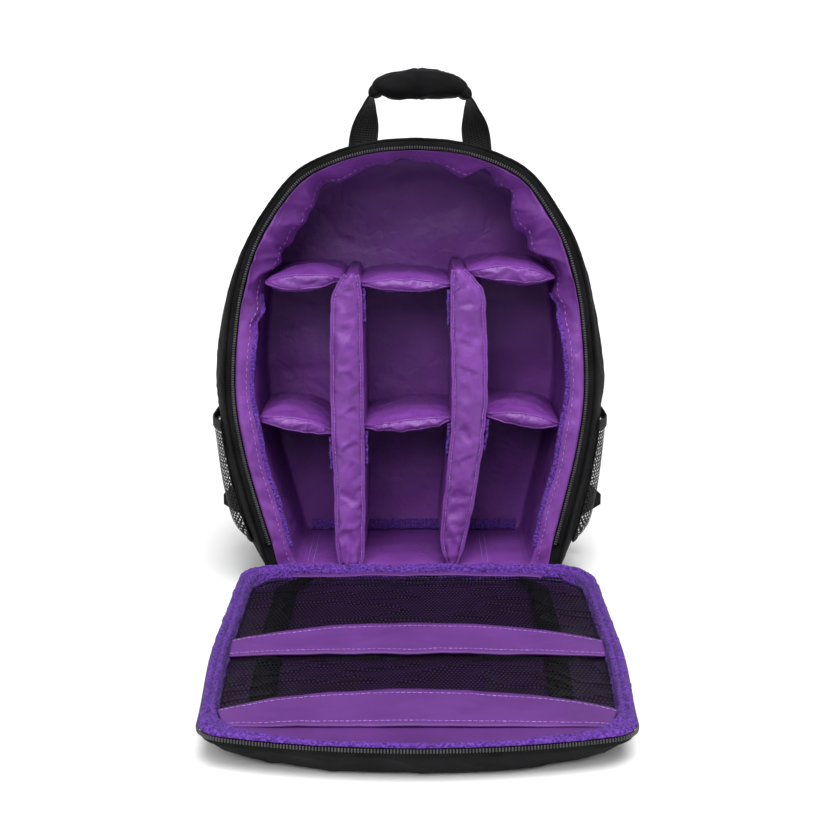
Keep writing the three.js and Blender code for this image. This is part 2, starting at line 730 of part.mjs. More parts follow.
const PANEL_SHEETS = [
  {
    name: 'mesh_far',
    material: 'black_mesh',
    thick: MESH_THICK,
    far: { at: MESH_START, z: SHEET_Z, lift: 2, sweep: 0 },
    near: { at: MIDDLE_BAND_FAR + 2, z: SHEET_Z + 0.6, lift: 6.6, sweep: BAND_SWEEP },
  },
  {
    name: 'band_middle',
    material: 'purple_nylon',
    thick: BAND_THICK,
    far: { at: MIDDLE_BAND_FAR, z: SHEET_Z + 1 + UNDER, lift: 7, sweep: BAND_SWEEP },
    near: { at: MIDDLE_BAND_FAR + BAND_WIDTH, z: SHEET_Z + 1, lift: 2.5, sweep: 0 },
  },
  {
    name: 'mesh_near',
    material: 'black_mesh',
    thick: MESH_THICK,
    far: { at: MIDDLE_BAND_FAR + BAND_WIDTH + 2, z: SHEET_Z - 2, lift: 2, sweep: 0 },
    near: { at: NEAR_BAND_FAR + 2, z: SHEET_Z + 0.6, lift: 6.6, sweep: BAND_SWEEP },
  },
  {
    name: 'band_near',
    material: 'purple_nylon',
    thick: BAND_THICK,
    far: { at: NEAR_BAND_FAR, z: SHEET_Z + 1 + UNDER, lift: 7, sweep: BAND_SWEEP },
    near: { at: NEAR_BAND_FAR + BAND_WIDTH, z: SHEET_Z + 1, lift: 2.5, sweep: 0 },
  },
];

function panelSheet({ far, near, thick }) {
  return cushion([8, 3, 1], (across, along, up) => {
    const share = (along + 1) / 2;
    const blend = (column) => lerp(near[column], far[column], share);
    const distance = blend('at') + blend('sweep') * across * across;
    const farCorner = 0.11 * smooth(1 - (distance - MESH_START) / 24);
    const corner = 1 - farCorner - 0.1 * smooth((distance - NEAR_CORNER) / 24);
    const half = (PANEL_HALF - SHEET_EDGE) * corner * panelTaper(distance);
    const lift = blend('lift') * (1 - Math.abs(across) ** 2.5);
    const z = blend('z') + lift + (thick * (up + 1)) / 2;
    return new THREE.Vector3(PANEL_SHIFT + across * half, HINGE_Y - distance, z);
  });
}

// Side pockets: net sewn to the shell's side along its foot and both upright edges, and open at the top.
// Each row gives the share of the pocket's height, and its stand-off as a share of its swell.
const POCKET_PROFILE = [
  { height: 0.0, out: 0.0 },
  { height: 0.06, out: 0.8 },
  { height: 0.14, out: 1.0 },
  { height: 0.4, out: 0.8 },
  { height: 0.75, out: 0.55 },
  { height: 1.0, out: 0.5 },
];
const POCKET_FRONT = RIM_Y + 12;

function makeSidePocket(side, swell) {
  return cushion([1, 6, POCKET_PROFILE.length - 1], (across, along, up) => {
    const { height, out } = POCKET_PROFILE[Math.round(((up + 1) / 2) * (POCKET_PROFILE.length - 1))];
    const y = POCKET_FRONT + (POCKET_DEPTH * (along + 1)) / 2;
    const z = POCKET_BASE + POCKET_HEIGHT * height;
    const standoff = swell * out * (1 - along ** 4) + (MESH_THICK * (across + 1)) / 2;
    return new THREE.Vector3(shellX(side, y, z) + side * (SHELL_CLEARANCE + standoff), y, z);
  });
}

// Grab handle: webbing sewn flat to the top of the back, twisted a quarter turn, and wrapped in a grip.
// Rows run from foot to foot. across is a share of HANDLE_SPAN, rise of HANDLE_RISE, and twist in degrees.
const HANDLE = [
  { across: -0.5, rise: -0.12, twist: 0 },
  { across: -0.485, rise: 0.1, twist: 0 },
  { across: -0.46, rise: 0.3, twist: 28 },
  { across: -0.435, rise: 0.5, twist: 60 },
  { across: -0.405, rise: 0.68, twist: 85 },
  { across: -0.33, rise: 0.8, twist: 90 },
  { across: -0.2, rise: 0.84, twist: 90 },
  { across: 0.0, rise: 0.87, twist: 90 },
  { across: 0.2, rise: 0.845, twist: 90 },
  { across: 0.33, rise: 0.785, twist: 90 },
  { across: 0.41, rise: 0.66, twist: 95 },
  { across: 0.44, rise: 0.47, twist: 122 },
  { across: 0.465, rise: 0.28, twist: 155 },
  { across: 0.485, rise: 0.1, twist: 180 },
  { across: 0.5, rise: -0.12, twist: 180 },
];
const HANDLE_Y = BACK_Y + GAP + WEB_THICK / 2;
const HANDLE_MIDDLE = 3;

const handleCurve = new THREE.CatmullRomCurve3(
  HANDLE.map(
    (row) =>
      new THREE.Vector3(
        HANDLE_MIDDLE + row.across * HANDLE_SPAN,
        HANDLE_Y,
        HEIGHT - BACK_INSET + row.rise * HANDLE_RISE + 4,
      ),
  ),
  false,
  'centripetal',
);

const handleTwist = HANDLE.map((row, k) => ({ ...row, share: k / (HANDLE.length - 1) }));

function handleFrame(t) {
  const middle = handleCurve.getPoint(t);
  const tangent = handleCurve.getTangent(t);
  const twist = THREE.MathUtils.degToRad(lookUp(handleTwist, 'share', t, 'twist'));
  const wide = new THREE.Vector3(Math.cos(twist), Math.sin(twist), 0);
  wide.addScaledVector(tangent, -wide.dot(tangent)).normalize();
  const out = new THREE.Vector3().crossVectors(wide, tangent).normalize();
  return { middle, wide, out };
}

function handleRing(t, corners) {
  const { middle, wide, out } = handleFrame(t);
  return corners.map(([a, b]) => middle.clone().addScaledVector(wide, a).addScaledVector(out, b));
}

function makeHandleWebbing() {
  const rings = [];
  for (let i = 0; i <= 30; i++) rings.push(handleRing(i / 30, flatSection(WEB_WIDTH, WEB_THICK)));
  return loft(rings);
}

// The grip is a padded sleeve, thickest in its middle, with the webbing through it.
function makeGrip() {
  const [start, end, steps, sides] = [0.285, 0.715, 8, 10];
  const oval = (width, thick, power) =>
    Array.from({ length: sides }, (_, k) => {
      const turn = ((k + 0.5) / sides) * Math.PI * 2;
      const shape = (v) => Math.sign(v) * Math.abs(v) ** power;
      return [(shape(Math.cos(turn)) * width) / 2, (shape(Math.sin(turn)) * thick) / 2];
    });
  const at = (k) => lerp(start, end, k / steps);
  const outer = [];
  const bore = [];
  for (let k = 0; k <= steps; k++) {
    const fullness = Math.sin((Math.PI * k) / steps) ** 0.8;
    const thick = lerp(GRIP_END_THICK, GRIP_THICK, fullness);
    const wide = lerp(WEB_WIDTH + 4, GRIP_DEPTH, fullness);
    outer.push(handleRing(at(k), oval(wide, thick, 0.8)));
    bore.push(handleRing(at(k), oval(WEB_WIDTH + 3, WEB_THICK + 3, 0.3)));
  }
  return loft([...outer, ...bore.reverse()], { loop: true });
}

// Shoulder straps. Rows run from the sewn top down to the pad's end: across from STRAP_SPREAD outwards as a
// share of it, drop as a share of the pad's height, and standoff as a share of STRAP_STANDOFF.
const STRAP = [
  { across: 0.0, drop: 0.0, standoff: 0.0, width: 0.75 },
  { across: 0.03, drop: 0.08, standoff: 0.1, width: 0.9 },
  { across: 0.2, drop: 0.3, standoff: 0.75, width: 1.0 },
  { across: 0.5, drop: 0.55, standoff: 1.0, width: 1.0 },
  { across: 0.8, drop: 0.8, standoff: 0.85, width: 0.95 },
  { across: 1.0, drop: 1.0, standoff: 0.6, width: 0.7 },
];
const STRAP_BACK = BACK_Y + GAP * 2 + STRAP_THICK / 2;

function strapPoint(side, row) {
  return new THREE.Vector3(
    side * STRAP_SPREAD * (1 + row.across),
    STRAP_BACK + STRAP_STANDOFF * row.standoff,
    lerp(STRAP_TOP, STRAP_END, row.drop),
  );
}

function makeStrapPad(side) {
  const curve = new THREE.CatmullRomCurve3(STRAP.map((row) => strapPoint(side, row)));
  return loft(
    sweep(curve, 12, level, (share) =>
      softSection(STRAP_WIDTH * lookUp(STRAP, 'drop', share, 'width'), STRAP_THICK),
    ),
  );
}

// Each buckle is a flat ladder lock with two slots. Its top slot takes the pad's loop and its lower slot the
// webbing.
const SLOT_HEIGHT = 6;
const SLOT_BAR = (BUCKLE_HEIGHT - 2 * SLOT_HEIGHT) / 3;
const buckleMiddle = (side) =>
  strapPoint(side, { across: 1.09, drop: 1 + 26 / (STRAP_TOP - STRAP_END), standoff: 0.78 });

function makeBuckle(side) {
  const halfWide = STRAP_WEB_WIDTH / 2 + 5;
  const plate = new THREE.Shape();
  plate.moveTo(-halfWide, -BUCKLE_HEIGHT / 2);
  plate.lineTo(halfWide, -BUCKLE_HEIGHT / 2);
  plate.lineTo(halfWide, BUCKLE_HEIGHT / 2);
  plate.lineTo(-halfWide, BUCKLE_HEIGHT / 2);
  for (const low of [SLOT_BAR - BUCKLE_HEIGHT / 2, SLOT_BAR / 2]) {
    const slot = new THREE.Path();
    const wide = STRAP_WEB_WIDTH / 2 + 1.5;
    slot.moveTo(-wide, low);
    slot.lineTo(-wide, low + SLOT_HEIGHT);
    slot.lineTo(wide, low + SLOT_HEIGHT);
    slot.lineTo(wide, low);
    plate.holes.push(slot);
  }
  const geometry = new THREE.ExtrudeGeometry(plate, { depth: BUCKLE_THICK, bevelEnabled: false });
  geometry.translate(0, 0, -BUCKLE_THICK / 2);
  geometry.rotateX(Math.PI / 2);
  const middle = buckleMiddle(side);
  geometry.translate(middle.x, middle.y, middle.z);
  return geometry;
}

// The pad's short loop comes down behind the buckle's top bar and turns out through the top slot.
const WEB_CLEARANCE = 0.8;
const behindBuckle = (buckle) => buckle.y - BUCKLE_THICK / 2 - WEB_CLEARANCE - WEB_THICK / 2;

function makeStrapLoop(side) {
  const pad = strapPoint(side, STRAP.at(-1));
  const buckle = buckleMiddle(side);
  const behind = behindBuckle(buckle);
  const slotZ = buckle.z + SLOT_BAR / 2 + SLOT_HEIGHT / 2;
  const points = [
    new THREE.Vector3(pad.x, pad.y, pad.z - 3),
    new THREE.Vector3(lerp(pad.x, buckle.x, 0.5), lerp(pad.y, behind, 0.9), pad.z - 8),
    new THREE.Vector3(buckle.x, behind, slotZ + SLOT_HEIGHT),
    new THREE.Vector3(buckle.x, behind, slotZ + SLOT_HEIGHT * 0.4),
    new THREE.Vector3(buckle.x, behind + 1, slotZ + 0.3),
    new THREE.Vector3(buckle.x, buckle.y + BUCKLE_THICK / 4, slotZ),
  ];
  const curve = new THREE.CatmullRomCurve3(points, false, 'centripetal');
  return loft(sweep(curve, 14, level, () => flatSection(STRAP_WEB_WIDTH, WEB_THICK)));
}

// Side tabs: cloth triangles sewn into the side seams, which hold the lower webbing.
const ANCHOR_Z = 50;
const ANCHOR_Y = BACK_Y - 22;
const ANCHOR_THICK = 3;
const TAB_ABOVE = 22;
const TAB_BELOW = 28;
const anchorTip = (side) => shellX(side, ANCHOR_Y, ANCHOR_Z) + side * TAB_REACH;

function makeAnchorTab(side) {
  const [top, bottom] = [ANCHOR_Z + TAB_ABOVE, ANCHOR_Z - TAB_BELOW];
  return cushion([3, 1, 4], (across, along, up) => {
    const z = lerp(bottom, top, (up + 1) / 2);
    const tip = lerp(ANCHOR_Z - 5, ANCHOR_Z + 3, (up + 1) / 2);
    const share = (across + 1) / 2;
    const seat = shellX(side, ANCHOR_Y - ANCHOR_THICK / 2, z) + side * SHELL_CLEARANCE * 0.6;
    const x = lerp(seat, anchorTip(side), share);
    return new THREE.Vector3(x, ANCHOR_Y + (along * ANCHOR_THICK) / 2, lerp(z, tip, share));
  });
}

// The lower webbing rises from its tab, turns round the buckle's bottom bar, and its tail hangs outside.
function makeStrapWebbing(side) {
  const buckle = buckleMiddle(side);
  const low = buckle.z - BUCKLE_HEIGHT / 2;
  const slotZ = low + SLOT_BAR + SLOT_HEIGHT / 2;
  const behind = behindBuckle(buckle);
  const outside = 2 * buckle.y - behind;
  const anchor = anchorTip(side) - side * TAB_REACH * 0.5;
  const seat = ANCHOR_Y + ANCHOR_THICK / 2 + GAP * 3 + WEB_THICK / 2;
  const points = [
    new THREE.Vector3(anchor, seat, ANCHOR_Z - 3),
    new THREE.Vector3(anchor - side * 4, seat + 7, ANCHOR_Z - 3),
    new THREE.Vector3(lerp(anchor, buckle.x, 0.4), BACK_Y + 12, ANCHOR_Z + 6),
    new THREE.Vector3(lerp(anchor, buckle.x, 0.88), behind - 4, lerp(ANCHOR_Z, low, 0.6)),
    new THREE.Vector3(buckle.x, behind - 0.2, low - 6),
    new THREE.Vector3(buckle.x, behind, low),
    new THREE.Vector3(buckle.x, behind, slotZ - 1),
    new THREE.Vector3(buckle.x, behind + 1.2, slotZ + 0.8),
    new THREE.Vector3(buckle.x, outside - 1.2, slotZ + 0.8),
    new THREE.Vector3(buckle.x, outside, slotZ - 1),
    new THREE.Vector3(buckle.x, outside, low - 3),
    new THREE.Vector3(buckle.x - side * 4, outside + 3, low - STRAP_TAIL),
  ];
  const curve = new THREE.CatmullRomCurve3(points, false, 'centripetal');
  const wide = (share) => {
    const turned = smooth((share - 0.08) / 0.3);
    return new THREE.Vector3(side * turned, 0, side * (turned - 1));
  };
  return loft(sweep(curve, 40, wide, () => flatSection(STRAP_WEB_WIDTH, WEB_THICK)));
}

add('shell', makeShell(), 'black_fabric');
add('lining', makeLining(), 'purple_nylon');
add('body_zip', makeBodyZip(), 'zip_black');
for (const name of Object.keys(DIVIDERS)) add(name, makeDivider(name), 'purple_nylon');
for (const shelf of SHELVES) add(shelf.name, makeShelf(shelf), 'purple_nylon');
for (const tab of TABS) add(tab.name, makeTab(tab), 'purple_loop');
add('panel_shell', makePanelShell(), 'black_fabric');
add('panel_pad', makePanelPad(), 'purple_nylon');
add('panel_edge_roll', makeEdgeRoll(), 'purple_loop');
add('panel_zip', makePanelZip(), 'zip_black');
add('panel_hinge', makeHinge(), 'black_fabric');
for (const sheet of PANEL_SHEETS) add(sheet.name, panelSheet(sheet), sheet.material);
add('side_pocket_left', makeSidePocket(-1, POCKET_SWELL_LEFT), 'black_mesh');
add('side_pocket_right', makeSidePocket(1, POCKET_SWELL_RIGHT), 'black_mesh');
add('handle_webbing', makeHandleWebbing(), 'black_webbing');
add('handle_grip', makeGrip(), 'black_fabric');
for (const [side, word] of [[-1, 'left'], [1, 'right']]) {
  add(`strap_pad_${word}`, makeStrapPad(side), 'black_fabric');
  add(`strap_loop_${word}`, makeStrapLoop(side), 'black_webbing');
  add(`strap_buckle_${word}`, makeBuckle(side), 'plastic_black');
  add(`strap_webbing_${word}`, makeStrapWebbing(side), 'black_webbing');
  add(`strap_tab_${word}`, makeAnchorTab(side), 'black_webbing');
}

export default backpack;
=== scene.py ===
# %% [markdown]
# # An open camera backpack
# The bag stands open: its zipped front panel lies flat before it, and the padded purple lining shows.
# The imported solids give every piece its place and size. Each cell below dresses one of them in cloth.
# All the soft pieces are thin or padded fabric, so most are made from rows of points that follow the real
# seams, and then get folds, seams and stitches of their own.

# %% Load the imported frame
import math

import bpy
import numpy as np
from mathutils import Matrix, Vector, kdtree, noise


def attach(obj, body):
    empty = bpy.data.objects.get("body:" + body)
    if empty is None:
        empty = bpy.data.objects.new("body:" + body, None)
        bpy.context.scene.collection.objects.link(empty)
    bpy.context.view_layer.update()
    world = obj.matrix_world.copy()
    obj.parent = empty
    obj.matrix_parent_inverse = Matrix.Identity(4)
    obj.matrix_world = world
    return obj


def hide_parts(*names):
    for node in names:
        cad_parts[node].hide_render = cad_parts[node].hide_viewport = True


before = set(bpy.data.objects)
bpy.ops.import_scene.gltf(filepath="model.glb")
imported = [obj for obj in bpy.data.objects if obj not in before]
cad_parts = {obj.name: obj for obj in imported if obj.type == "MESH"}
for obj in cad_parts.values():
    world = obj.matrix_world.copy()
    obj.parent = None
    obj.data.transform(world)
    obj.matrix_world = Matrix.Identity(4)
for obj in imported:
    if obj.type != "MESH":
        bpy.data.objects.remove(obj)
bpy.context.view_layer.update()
bpy.ops.object.select_all(action="DESELECT")

# %% [markdown]
# ## Curves and tables
# A bag has no straight lines, so its shape is written down as short tables, and a smooth curve runs through
# each. The curve is a centripetal Catmull-Rom spline: it passes through every point and never loops.
# Lengths are typed in millimetres and turned into metres when a mesh is made.

# %% Curves through points
MM = 0.001


def lerp(a, b, share):
    return a + (b - a) * share


def ease(x):
    x = np.clip(x, 0.0, 1.0)
    return x * x * (3 - 2 * x)


def spline(points, shares):
    """Points at these shares, 0 to 1, of a smooth curve through points."""
    p = np.asarray(points, float)
    spans = len(p) - 1
    p = np.vstack([2 * p[0] - p[1], p, 2 * p[-1] - p[-2]])
    at = np.clip(np.asarray(shares, float), 0, 1) * spans
    k = np.minimum(at.astype(int), spans - 1)
    w = (at - k)[:, None]
    a, b, c, d = p[k], p[k + 1], p[k + 2], p[k + 3]
    ab, bc, cd = (
        np.maximum(np.linalg.norm(q - r, axis=1) ** 0.5, 1e-4)[:, None]
        for q, r in ((b, a), (c, b), (d, c))
    )
    leave = ((b - a) / ab - (c - a) / (ab + bc) + (c - b) / bc) * bc
    arrive = ((c - b) / bc - (d - b) / (bc + cd) + (d - c) / cd) * bc
    return b + leave * w + (3 * (c - b) - 2 * leave - arrive) * w**2 + (2 * (b - c) + leave + arrive) * w**3


def table(*rows):
    """A smooth function through rows of (place, value, value, ...)."""
    fine = spline(rows, np.linspace(0, 1, 60 * len(rows)))
    places = np.maximum.accumulate(fine[:, 0])
    return lambda at, column=1: np.interp(at, places, fine[:, column])


def run_of(line):
    """How far along a line of points each one is."""
    steps = np.linalg.norm(np.diff(line, axis=0), axis=1)
    return np.concatenate([[0], np.cumsum(steps)])


def even(line, count):
    """The same line with count points, evenly apart."""
    run = run_of(line)
    at = np.linspace(0, run[-1], count)
    return np.stack([np.interp(at, run, line[:, i]) for i in range(line.shape[1])], axis=1)


print("a quarter along a corner:", spline([(0, 0), (1, 0), (1, 1)], [0.25]))

# %% [markdown]
# ## Folds
# Cloth is never even. A noise field that is the same on each run moves points by a little. Its ridged form has
# sharp crests between soft hollows, as in nylon that has been folded.


# %% Noise fields
def rough(points, size, seed=0):
    """Soft noise, -1 to 1, at points. size is the width of a fold, one number or one for each axis."""
    flat = (points / np.asarray(size, float) + seed * 17.3).reshape(-1, 3)
    return np.array([noise.noise(p) for p in flat.tolist()]).reshape(points.shape[:-1])


def creases(points, size, seed=0):
    """Sharp crests, 0 to 1, at points."""
    return (1 - np.minimum(np.abs(rough(points, size, seed)) * 3.2, 1)) ** 2


def bump_at(x, middle, width):
    """A smooth hump of height 1 at middle."""
    return np.exp(-(((x - middle) / width) ** 2))


# %% [markdown]
# ## From rows of points to cloth
# A grid primitive is the start of each cloth piece. Its points are moved to the rows, its UV map is laid out in
# metres so that a weave keeps its size, and its two ends are welded where the piece goes all the way round.


# %% Cloth from a grid
WELD = 1e-6


def only(piece):
    bpy.ops.object.select_all(action="DESELECT")
    piece.select_set(True)
    bpy.context.view_layer.objects.active = piece


def modify(piece, kind, **settings):
    """Adds a modifier and applies it."""
    only(piece)
    step = piece.modifiers.new(kind.title(), kind)
    for name, value in settings.items():
        setattr(step, name, value)
    bpy.ops.object.modifier_apply(modifier=step.name)
    return piece


def edit_all():
    """Goes to Edit Mode with the whole mesh selected."""
    bpy.ops.object.mode_set(mode="EDIT")
    bpy.ops.mesh.select_all(action="SELECT")


def places_of(piece):
    """The points of a mesh, in millimetres."""
    co = np.zeros(len(piece.data.vertices) * 3, np.float32)
    piece.data.vertices.foreach_get("co", co)
    return co.reshape(-1, 3) / MM


def move_to(piece, places):
    """Puts the points of a mesh at places, in millimetres."""
    piece.data.vertices.foreach_set("co", (places * MM).astype(np.float32).ravel())
    piece.data.update()


def skin(name, rows, around=True, closed=True):
    """A smooth cloth mesh through rows of points, in millimetres."""
    rows = np.asarray(rows, float)
    if around:
        rows = np.concatenate([rows, rows[:, :1]], axis=1)
    high, wide = rows.shape[:2]
    bpy.ops.mesh.primitive_grid_add(x_subdivisions=wide - 1, y_subdivisions=high - 1, size=1)
    piece = bpy.context.object
    piece.name = piece.data.name = name
    move_to(piece, rows)
    mesh = piece.data
    u, v = np.zeros((2, high, wide))
    u[:, 1:] = np.cumsum(np.linalg.norm(np.diff(rows, axis=1), axis=2), axis=1)
    v[1:] = np.cumsum(np.linalg.norm(np.diff(rows, axis=0), axis=2), axis=0)
    corners = np.zeros(len(mesh.loops), np.int32)
    mesh.loops.foreach_get("vertex_index", corners)
    flat = np.stack([u.ravel(), v.ravel()], axis=1)[corners] * MM
    mesh.uv_layers[0].data.foreach_set("uv", flat.astype(np.float32).ravel())
    mesh.update()
    edit_all()
    bpy.ops.mesh.remove_doubles(threshold=WELD)
    if closed:
        bpy.ops.mesh.normals_make_consistent(inside=False)
    bpy.ops.object.mode_set(mode="OBJECT")
    bpy.ops.object.shade_smooth()
    return piece


def cap(ring, steps, power=1.0):
    """Rows that shrink a ring to its middle, to close the end of a piece."""
    middle = ring.mean(axis=0)
    shares = (np.arange(1, steps + 1) / steps) ** power
    return [lerp(ring, middle, share) for share in shares]


def lean(rows):
    """The way each point of the rows faces."""
    rows = np.asarray(rows, float)
    across = np.roll(rows, -1, axis=1) - np.roll(rows, 1, axis=1)
    facing = np.cross(across, np.gradient(rows, axis=0))
    return facing / np.maximum(np.linalg.norm(facing, axis=2, keepdims=True), 1e-9)


def lean_to(rows, spot, way):
    """The way each point faces, with the sign that makes the one at spot face this way."""
    facing = lean(rows)
    return facing * np.sign((facing[spot] * way).sum())


# %% [markdown]
# Threads, piping and webbing are strips swept along a line. Each keeps its own wide direction, so it doesn't
# twist. Stitches, zip teeth and net cells are one small shape, modelled once and set down many times.


# %% Strips and repeats
def frames(line, wide, round_trip=False):
    """For each point of a line: its tangent, the wide direction square to it, and the way out."""
    line = np.asarray(line, float)
    ahead = np.roll(line, -1, axis=0) - np.roll(line, 1, axis=0) if round_trip else np.gradient(line, axis=0)
    ahead /= np.linalg.norm(ahead, axis=1, keepdims=True)
    wide = np.broadcast_to(np.asarray(wide, float), line.shape)
    wide = wide - (wide * ahead).sum(axis=1, keepdims=True) * ahead
    wide = wide / np.linalg.norm(wide, axis=1, keepdims=True)
    return ahead, wide, np.cross(wide, ahead)


def oval(width, thick, count, power=1.0):
    """The outline of a strip: an ellipse, or with a low power a rectangle with round corners."""
    turn = (np.arange(count) + 0.5) / count * 2 * np.pi
    shape = lambda v: np.sign(v) * np.abs(v) ** power
    return np.stack([shape(np.cos(turn)) * width / 2, shape(np.sin(turn)) * thick / 2], axis=1)


def swept(line, wide, section, round_trip=False):
    """Rows of an outline of [across, out], or of one for each point, set square to a line."""
    line = np.asarray(line, float)
    _, across, out = frames(line, wide, round_trip)
    section = np.broadcast_to(section, (len(line), *np.shape(section)[-2:]))
    return line[:, None] + across[:, None] * section[:, :, :1] + out[:, None] * section[:, :, 1:]


def strip(name, line, wide, section, round_trip=False, flaw=0.0, seed=1):
    """A closed strip of this section along a line."""
    rows = swept(line, wide, section, round_trip)
    if flaw:
        rows = rows + lean(rows) * (rough(rows, 1.6, seed) * flaw)[:, :, None]
    if round_trip:
        rows = np.concatenate([rows, rows[:1]])
    else:
        rows = np.concatenate([cap(rows[0], 1), rows, cap(rows[-1], 1)])
    return skin(name, rows)


def put(name, data):
    """A new object with this data, in the scene."""
    piece = bpy.data.objects.new(name, data)
    bpy.context.collection.objects.link(piece)
    return piece


def repeat(name, one, places, turns):
    """Copies of one small piece: its points turned by each of turns and moved to each of places, in mm."""
    co = places_of(one)
    faces = [list(face.vertices) for face in one.data.polygons]
    points = np.einsum("nij,vj->nvi", turns, co) + np.asarray(places)[:, None]
    steps = np.arange(len(points)) * len(co)
    mesh = bpy.data.meshes.new(name)
    every = [[v + s for v in face] for s in steps.tolist() for face in faces]
    mesh.from_pydata((points.reshape(-1, 3) * MM).tolist(), [], every)
    piece = put(name, mesh)
    only(piece)
    bpy.ops.object.shade_smooth()
    return piece


def along(line, pitch, wide, round_trip=False):
    """Places a pitch apart on a line, and turns that lay a small piece's X ahead, Y across and Z out."""
    line = np.asarray(line, float)
    both = np.concatenate([line, np.broadcast_to(np.asarray(wide, float), line.shape)], axis=1)
    if round_trip:
        both = np.concatenate([both, both[:1]])
    run = run_of(both[:, :3])
    count = max(int(run[-1] / pitch), 2)
    at = (np.arange(count) + 0.5) * run[-1] / count
    both = np.stack([np.interp(at, run, both[:, i]) for i in range(6)], axis=1)
    ahead, across, out = frames(both[:, :3], both[:, 3:], round_trip)
    return both[:, :3], np.stack([ahead, across, out], axis=2)


# %% [markdown]
# A stitch is a short thread that dips into the cloth at both ends: a small bevelled cube with its ends drawn in.

# %% One stitch
def small_block(size, taper=0.6, bevel=0.25):
    """A small block along X with drawn-in ends, as for a stitch or a zip tooth, in millimetres."""
    bpy.ops.mesh.primitive_cube_add(size=1)
    piece = bpy.context.object
    piece.scale = [s * MM for s in size]
    bpy.ops.object.transform_apply(location=True, rotation=True, scale=True)
    edit_all()
    bpy.ops.mesh.bevel(offset=min(size) * bevel * MM, segments=1, affect="EDGES")
    bpy.ops.object.mode_set(mode="OBJECT")
    for vertex in piece.data.vertices:
        end = abs(vertex.co.x) / (size[0] * MM / 2)
        if end > 0.8:
            vertex.co.y *= taper
            vertex.co.z = vertex.co.z * taper - 0.1 * size[2] * MM
    return piece


stitch = small_block((2.5, 0.75, 0.6))
print("a stitch has", len(stitch.data.polygons), "faces")


def sew(name, line, wide, pitch, round_trip=False):
    """A row of stitches along a line. wide lies across the stitches, flat on the cloth."""
    return repeat(name, stitch, *along(line, pitch, wide, round_trip))

# %% [markdown]
# ## Finishes
# Ten finishes dress the bag. Purple: satin nylon, the same nylon pulled taut, brushed loop pile and thread. Black:
# plain woven cloth, ribbed webbing, net thread, net folded double, zip nylon and moulded plastic. Each reads its
# colour from a soft noise, so no surface is one flat colour, and its weave or pile from a fine pattern in the
# bump. In the loop pile, the fine light flecks of that colour are painted glints as well as the pile's own tone.
# Weaves follow the UV map, which is in metres.


# %% Building a finish
def node(tree, kind, inputs=None, **settings):
    made = tree.nodes.new("ShaderNode" + kind)
    for name, value in settings.items():
        setattr(made, name, value)
    for name, value in (inputs or {}).items():
        if isinstance(value, bpy.types.NodeSocket):
            tree.links.new(value, made.inputs[name])
        else:
            made.inputs[name].default_value = value
    return made


def mottled(scale, dark, light, detail=3.0):
    """A colour that drifts between dark and light."""

    def colour(tree, where):
        clouds = node(tree, "TexNoise", {"Vector": where, "Scale": scale, "Detail": detail})
        ramp = node(tree, "ValToRGB", {"Fac": clouds.outputs["Fac"]})
        for stop, at, shade in zip(ramp.color_ramp.elements, (0.3, 0.7), (dark, light)):
            stop.position, stop.color = at, (*shade, 1)
        return ramp.outputs["Color"]

    return colour


def raised(tree, height, distance, strength=1.0, below=None):
    """A bump of this height on top of the one below."""
    bump = node(tree, "Bump", {"Height": height, "Distance": distance * MM, "Strength": strength})
    if below:
        tree.links.new(below, bump.inputs["Normal"])
    return bump.outputs["Normal"]


def grain(scale, distance, strength=1.0, **noise_settings):
    """Soft bumps, so many to the metre, this many millimetres high."""

    def normal(tree, where, below=None):
        fine = node(tree, "TexNoise", {"Vector": where, "Scale": scale, **noise_settings})
        return raised(tree, fine.outputs["Fac"], distance, strength, below)

    return normal


def woven(tree, across, along_it):
    """Threads over and under each other, at these pitches, from the UV map in metres."""
    uv = node(tree, "UVMap").outputs["UV"]
    bands = {}
    for socket, way, pitch in ((0, "X", across), (1, "Y", along_it)):
        wave = node(tree, "TexWave", {"Vector": uv, "Scale": 2 * math.pi / (20 * pitch * MM)}, bands_direction=way)
        bands[socket] = wave.outputs["Fac"]
    return node(tree, "Math", bands, operation="MAXIMUM").outputs[0]


def finish(name, colour, roughness, normal, **sockets):
    """A material. colour and normal are functions of its node tree and its object coordinates."""
    made = bpy.data.materials.new(name)
    made.use_nodes = True
    tree = made.node_tree
    shader = tree.nodes["Principled BSDF"]
    where = node(tree, "TexCoord").outputs["Object"]
    tree.links.new(colour(tree, where), shader.inputs["Base Color"])
    tree.links.new(normal(tree, where), shader.inputs["Normal"])
    for socket, value in {"Roughness": roughness, **sockets}.items():
        shader.inputs[socket.replace("_", " ")].default_value = value
    return made


# %% Purple finishes
NYLON = (0.128, 0.030, 0.212), (0.182, 0.048, 0.300)
TAUT = (0.084, 0.023, 0.144), (0.110, 0.031, 0.187)
# loop pile: its colour swings at random between dark and light purple. That is the pile's own tone, and its light
# flecks are painted glints.
PILE_TONE_AND_PAINTED_GLINTS = (0.026, 0.008, 0.085), (0.150, 0.050, 0.370)
THREAD = (0.22, 0.09, 0.40), (0.40, 0.20, 0.62)


def crinkled(deep):
    """Fold marks a few millimetres apart, and a fine plain weave."""

    def normal(tree, where):
        soft = grain(30, 3.2 * deep, 0.55, Detail=2, Distortion=0.6)(tree, where)
        folds = grain(85, 1.3 * deep, 0.6, Detail=3, Distortion=1.2)(tree, where, soft)
        return raised(tree, woven(tree, 0.45, 0.45), 0.08, 0.35, folds)

    return normal


def pile(tree, where):
    """Brushed loops about a millimetre across."""
    tufts = node(tree, "TexVoronoi", {"Vector": where, "Scale": 650, "Randomness": 1.0})
    drift = grain(320, 1.2, 0.8, Detail=3)(tree, where)
    return raised(tree, tufts.outputs["Distance"], 0.9, 0.9, drift)


